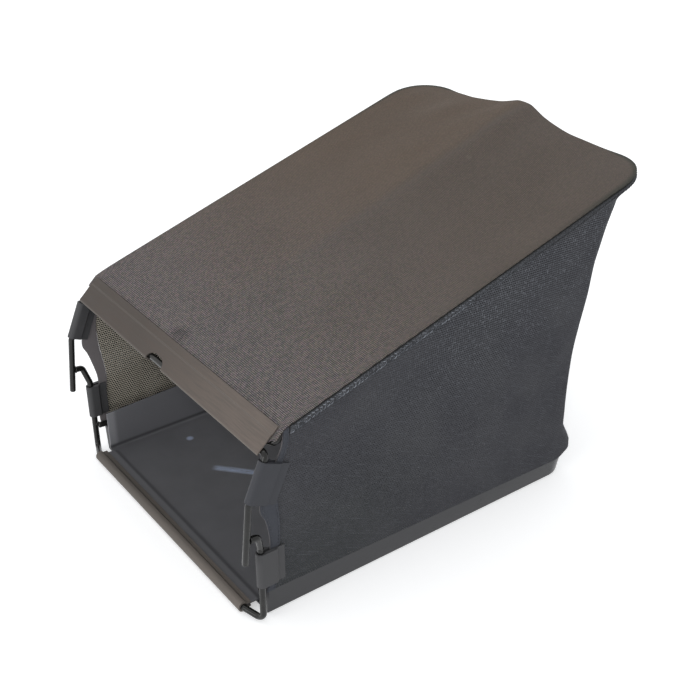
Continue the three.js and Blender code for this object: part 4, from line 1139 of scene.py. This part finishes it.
def tape_grid():
    """The binding under the edge of the top, along both sides and the rear in one piece."""

    def column(wall):
        top, foot = wall(2), wall(1)
        share = mix(TAPE_HIGH, TAPE_HIGH_REAR, smooth(top[1], 430, 530)) / (top[2] - foot[2])
        return [wall(2 - share * k / TAPE_ROWS) for k in range(TAPE_ROWS, -1, -1)]

    places = spread(0, SIDE_SHARE, 90) + spread(SIDE_SHARE, 1, 12)[1:]
    right = [column(partial(side_wall, BODY_FROM_Y, share)) for share in places]
    rear = [column(partial(rear_wall, share)) for share in rear_shares(0)[1:-1]]
    left = [[(-x, y, z) for x, y, z in points] for points in reversed(right)]
    grid = np.array(right + rear + left).transpose(1, 0, 2)
    return grid + normals_of(grid) * TAPE_OUT


SEAM_PITCH, SEAM_STITCH, SEAM_SLANT, SEAM_THREAD_R = 5.2, 3.6, 1.6, 0.5
HEM_PITCH, HEM_STITCH, HEM_THREAD_R = 5.0, 3.4, 0.4
THREAD_LIFT = 0.1


def stitch_row(grid, row, pitch, length, radius, slant=0.0):
    """Threads laid along one row of a cloth grid, each dipping into it at both ends."""
    normals = normals_of(grid)
    line = grid[row]
    out = normals[row]
    travelled = np.concatenate([[0], np.cumsum(np.linalg.norm(np.diff(line, axis=0), axis=1))])
    up = np.gradient(grid, axis=0)[row]
    up = up / np.linalg.norm(up, axis=1, keepdims=True)
    parts = []
    at = pitch / 2
    while at + length < travelled[-1]:
        points = []
        for share, height in ((0, -0.5), (0.2, 0.6), (0.5, 1.0), (0.8, 0.6), (1, -0.5)):
            s = at + length * share
            at_s = [[np.interp(s, travelled, column) for column in values.T] for values in (line, out, up)]
            here, normal, rise = map(Vector, at_s)
            points.append(here + normal * (THREAD_LIFT + radius * height) + rise * (slant * (share - 0.5)))
        parts.append(tube_mesh(points, radius, sides=6))
        at += pitch
    return parts


def mirrored_parts(parts):
    return [([(-x, y, z) for x, y, z in points], [f[::-1] for f in faces]) for points, faces in parts]


def dress_cloth():
    tape, side, hem = tape_grid(), side_grid(), hem_grid()
    seam = []
    for row, slant in ((1, SEAM_SLANT), (4, -SEAM_SLANT)):
        seam += stitch_row(tape, row, SEAM_PITCH, SEAM_STITCH, SEAM_THREAD_R, slant)
    seam_stitches = piece("top_seam_stitches", *merged(seam), SEAM_THREAD, "webbing")
    cloth("top_cloth", top_grid(), TOP_THICK, WOVEN, "woven_cloth", ["top_panel"])
    cloth(
        "seam_tape_binding", tape, TAPE_THICK, BINDING, "webbing", ["seam_tape"],
    )
    cloth("rear_mesh_cloth", rear_grid(), NET_THICK, NET, "mesh_cloth", ["rear_mesh"])
    columns = hem.transpose(1, 0, 2)[::-1]
    hem_rows = []
    for row in (1, 7):
        hem_rows += stitch_row(columns, row, HEM_PITCH, HEM_STITCH, HEM_THREAD_R)
    for side_name, mirror in (("left", True), ("right", False)):
        rows = mirrored_parts(hem_rows) if mirror else hem_rows
        stitches = piece(f"hem_stitches_{side_name}", *merged(rows), HEM_THREAD, "webbing")
        cloth(
            f"side_mesh_cloth_{side_name}", side, NET_THICK, NET, "mesh_cloth", [f"side_mesh_{side_name}"],
            mirror,
        )
        cloth(
            f"front_hem_cloth_{side_name}", hem, HEM_THICK, HEM, "webbing", [f"front_hem_{side_name}"],
            mirror,
        )


# Rigid pieces kept from the frame


def smooth_faces():
    """A small modifier group that shades every face smoothly."""
    group = bpy.data.node_groups.new("smooth_faces", "GeometryNodeTree")
    group.interface.new_socket("Geometry", in_out="INPUT", socket_type="NodeSocketGeometry")
    group.interface.new_socket("Geometry", in_out="OUTPUT", socket_type="NodeSocketGeometry")
    start, end = group.nodes.new("NodeGroupInput"), group.nodes.new("NodeGroupOutput")
    shade = group.nodes.new("GeometryNodeSetShadeSmooth")
    group.links.new(start.outputs[0], shade.inputs["Geometry"])
    group.links.new(shade.outputs[0], end.inputs[0])
    return group


SMOOTH = smooth_faces()


def soften(node, finish, width):
    """A rigid piece with its finish and with moulded, rounded edges."""
    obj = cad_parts[node]
    obj.data.materials.clear()
    obj.data.materials.append(finish)
    obj.modifiers.new("joined_faces", "WELD").merge_threshold = 1e-5
    obj.modifiers.new("shading", "NODES").node_group = SMOOTH
    bevel = obj.modifiers.new("rounded_edges", "BEVEL")
    bevel.width = width * MM
    bevel.segments = 2
    bevel.limit_method = "ANGLE"
    bevel.angle_limit = math.radians(32)
    even = obj.modifiers.new("even_shading", "WEIGHTED_NORMAL")
    even.weight = 90


def dress_rigid_pieces():
    for node in ("top_trim", "bottom_trim"):
        soften(node, TRIM, 0.4)
    for node in ("upper_clip_left", "lower_clip_left", "lower_clip_right"):
        soften(node, CLIP, 0.45)
    soften("upper_clip_right", DARKER_CLIP, 0.45)
    soften("base_pan", PAN, 0.6)


# Camera, light and stage


# Solved from the straight edges of the bag, in metres; the focal length is in pixels of the picture
EYE, AIM = Vector((1.06365, -0.77749, 0.93119)), Vector((0.00537, -0.00031, 0.16611))
FOCAL_LENGTH, PICTURE_WIDTH, SENSOR = 1161.165, 700, 36


def add_camera():
    data = bpy.data.cameras.new("camera")
    data.sensor_width = SENSOR
    data.lens = FOCAL_LENGTH / PICTURE_WIDTH * SENSOR
    camera = bpy.data.objects.new("camera", data)
    camera.location = EYE
    camera.rotation_euler = (AIM - EYE).to_track_quat("-Z", "Y").to_euler()
    bpy.context.scene.collection.objects.link(camera)
    bpy.context.scene.camera = camera


def soft_light(name, place, target, size, watts):
    data = bpy.data.lights.new(name, "AREA")
    data.shape = "DISK"
    data.size = size
    data.energy = watts
    lamp = bpy.data.objects.new(name, data)
    lamp.location = place
    lamp.rotation_euler = (Vector(target) - Vector(place)).to_track_quat("-Z", "Y").to_euler()
    bpy.context.scene.collection.objects.link(lamp)


def seen_directly(nodes):
    """1 for camera, glossy and transmitted rays, 0 for the rest."""
    rays = nodes.node("ShaderNodeLightPath").outputs
    kinds = ("Camera", "Glossy", "Transmission")
    camera, glossy, through = (Value(nodes, rays[f"Is {kind} Ray"]) for kind in kinds)
    return camera.at_least(glossy).at_least(through)


def add_world():
    """A soft even light that is seen as plain white."""
    world = bpy.data.worlds.new("studio")
    bpy.context.scene.world = world
    nodes = Nodes(world)
    light = nodes.node("ShaderNodeBackground", inputs={"Color": (0.96, 0.98, 1.0, 1), "Strength": 0.8})
    white = nodes.node("ShaderNodeBackground", inputs={"Color": (1, 1, 1, 1), "Strength": 1.0})
    choice = {0: seen_directly(nodes), 1: light.outputs[0], 2: white.outputs[0]}
    choose = nodes.node("ShaderNodeMixShader", inputs=choice)
    nodes.node("ShaderNodeOutputWorld", inputs={"Surface": choose.outputs[0]})


FLOOR_HALF, FLOOR_GLOW = 6.0, 0.45


def add_floor():
    """A pale matt floor that glows a little where it is seen, so that it looks white but keeps the shadow."""
    mesh = bpy.data.meshes.new("floor")
    corners = [(-1, -1), (1, -1), (1, 1), (-1, 1)]
    mesh.from_pydata([(x * FLOOR_HALF, y * FLOOR_HALF, 0) for x, y in corners], [], [(0, 1, 2, 3)])
    floor = bpy.data.objects.new("floor", mesh)
    floor.location.z = -0.0005
    bpy.context.scene.collection.objects.link(floor)
    finish = bpy.data.materials.new("pale_floor")
    nodes = Nodes(finish)
    matt = nodes.node("ShaderNodeBsdfDiffuse", inputs={"Color": (0.86, 0.86, 0.86, 1)})
    glow = nodes.node("ShaderNodeEmission", inputs={"Strength": seen_directly(nodes) * FLOOR_GLOW})
    both = nodes.node("ShaderNodeAddShader", inputs={0: matt.outputs[0], 1: glow.outputs[0]})
    nodes.node("ShaderNodeOutputMaterial", inputs={"Surface": both.outputs[0]})
    mesh.materials.append(finish)


def add_lights():
    soft_light("overhead_softbox", (-0.5, 0.1, 2.4), (0, 0, 0.2), 1.8, 7)
    soft_light("front_softbox", (0.5, -2.4, 0.9), (0, -0.1, 0.12), 1.2, 12)
    soft_light("small_flash", (1.0, -0.82, 1.05), (0, 0, 0.15), 0.05, 0.9)


add_camera()
front_hoop_wire()
upper_rail_wire()
riser_hoop_wire()
base_hoop_wire()
rear_stay_wires()
weld_beads()
dress_rigid_pieces()
dress_cloth()
add_world()
add_floor()
add_lights()
bpy.context.scene.view_settings.view_transform = "Standard"
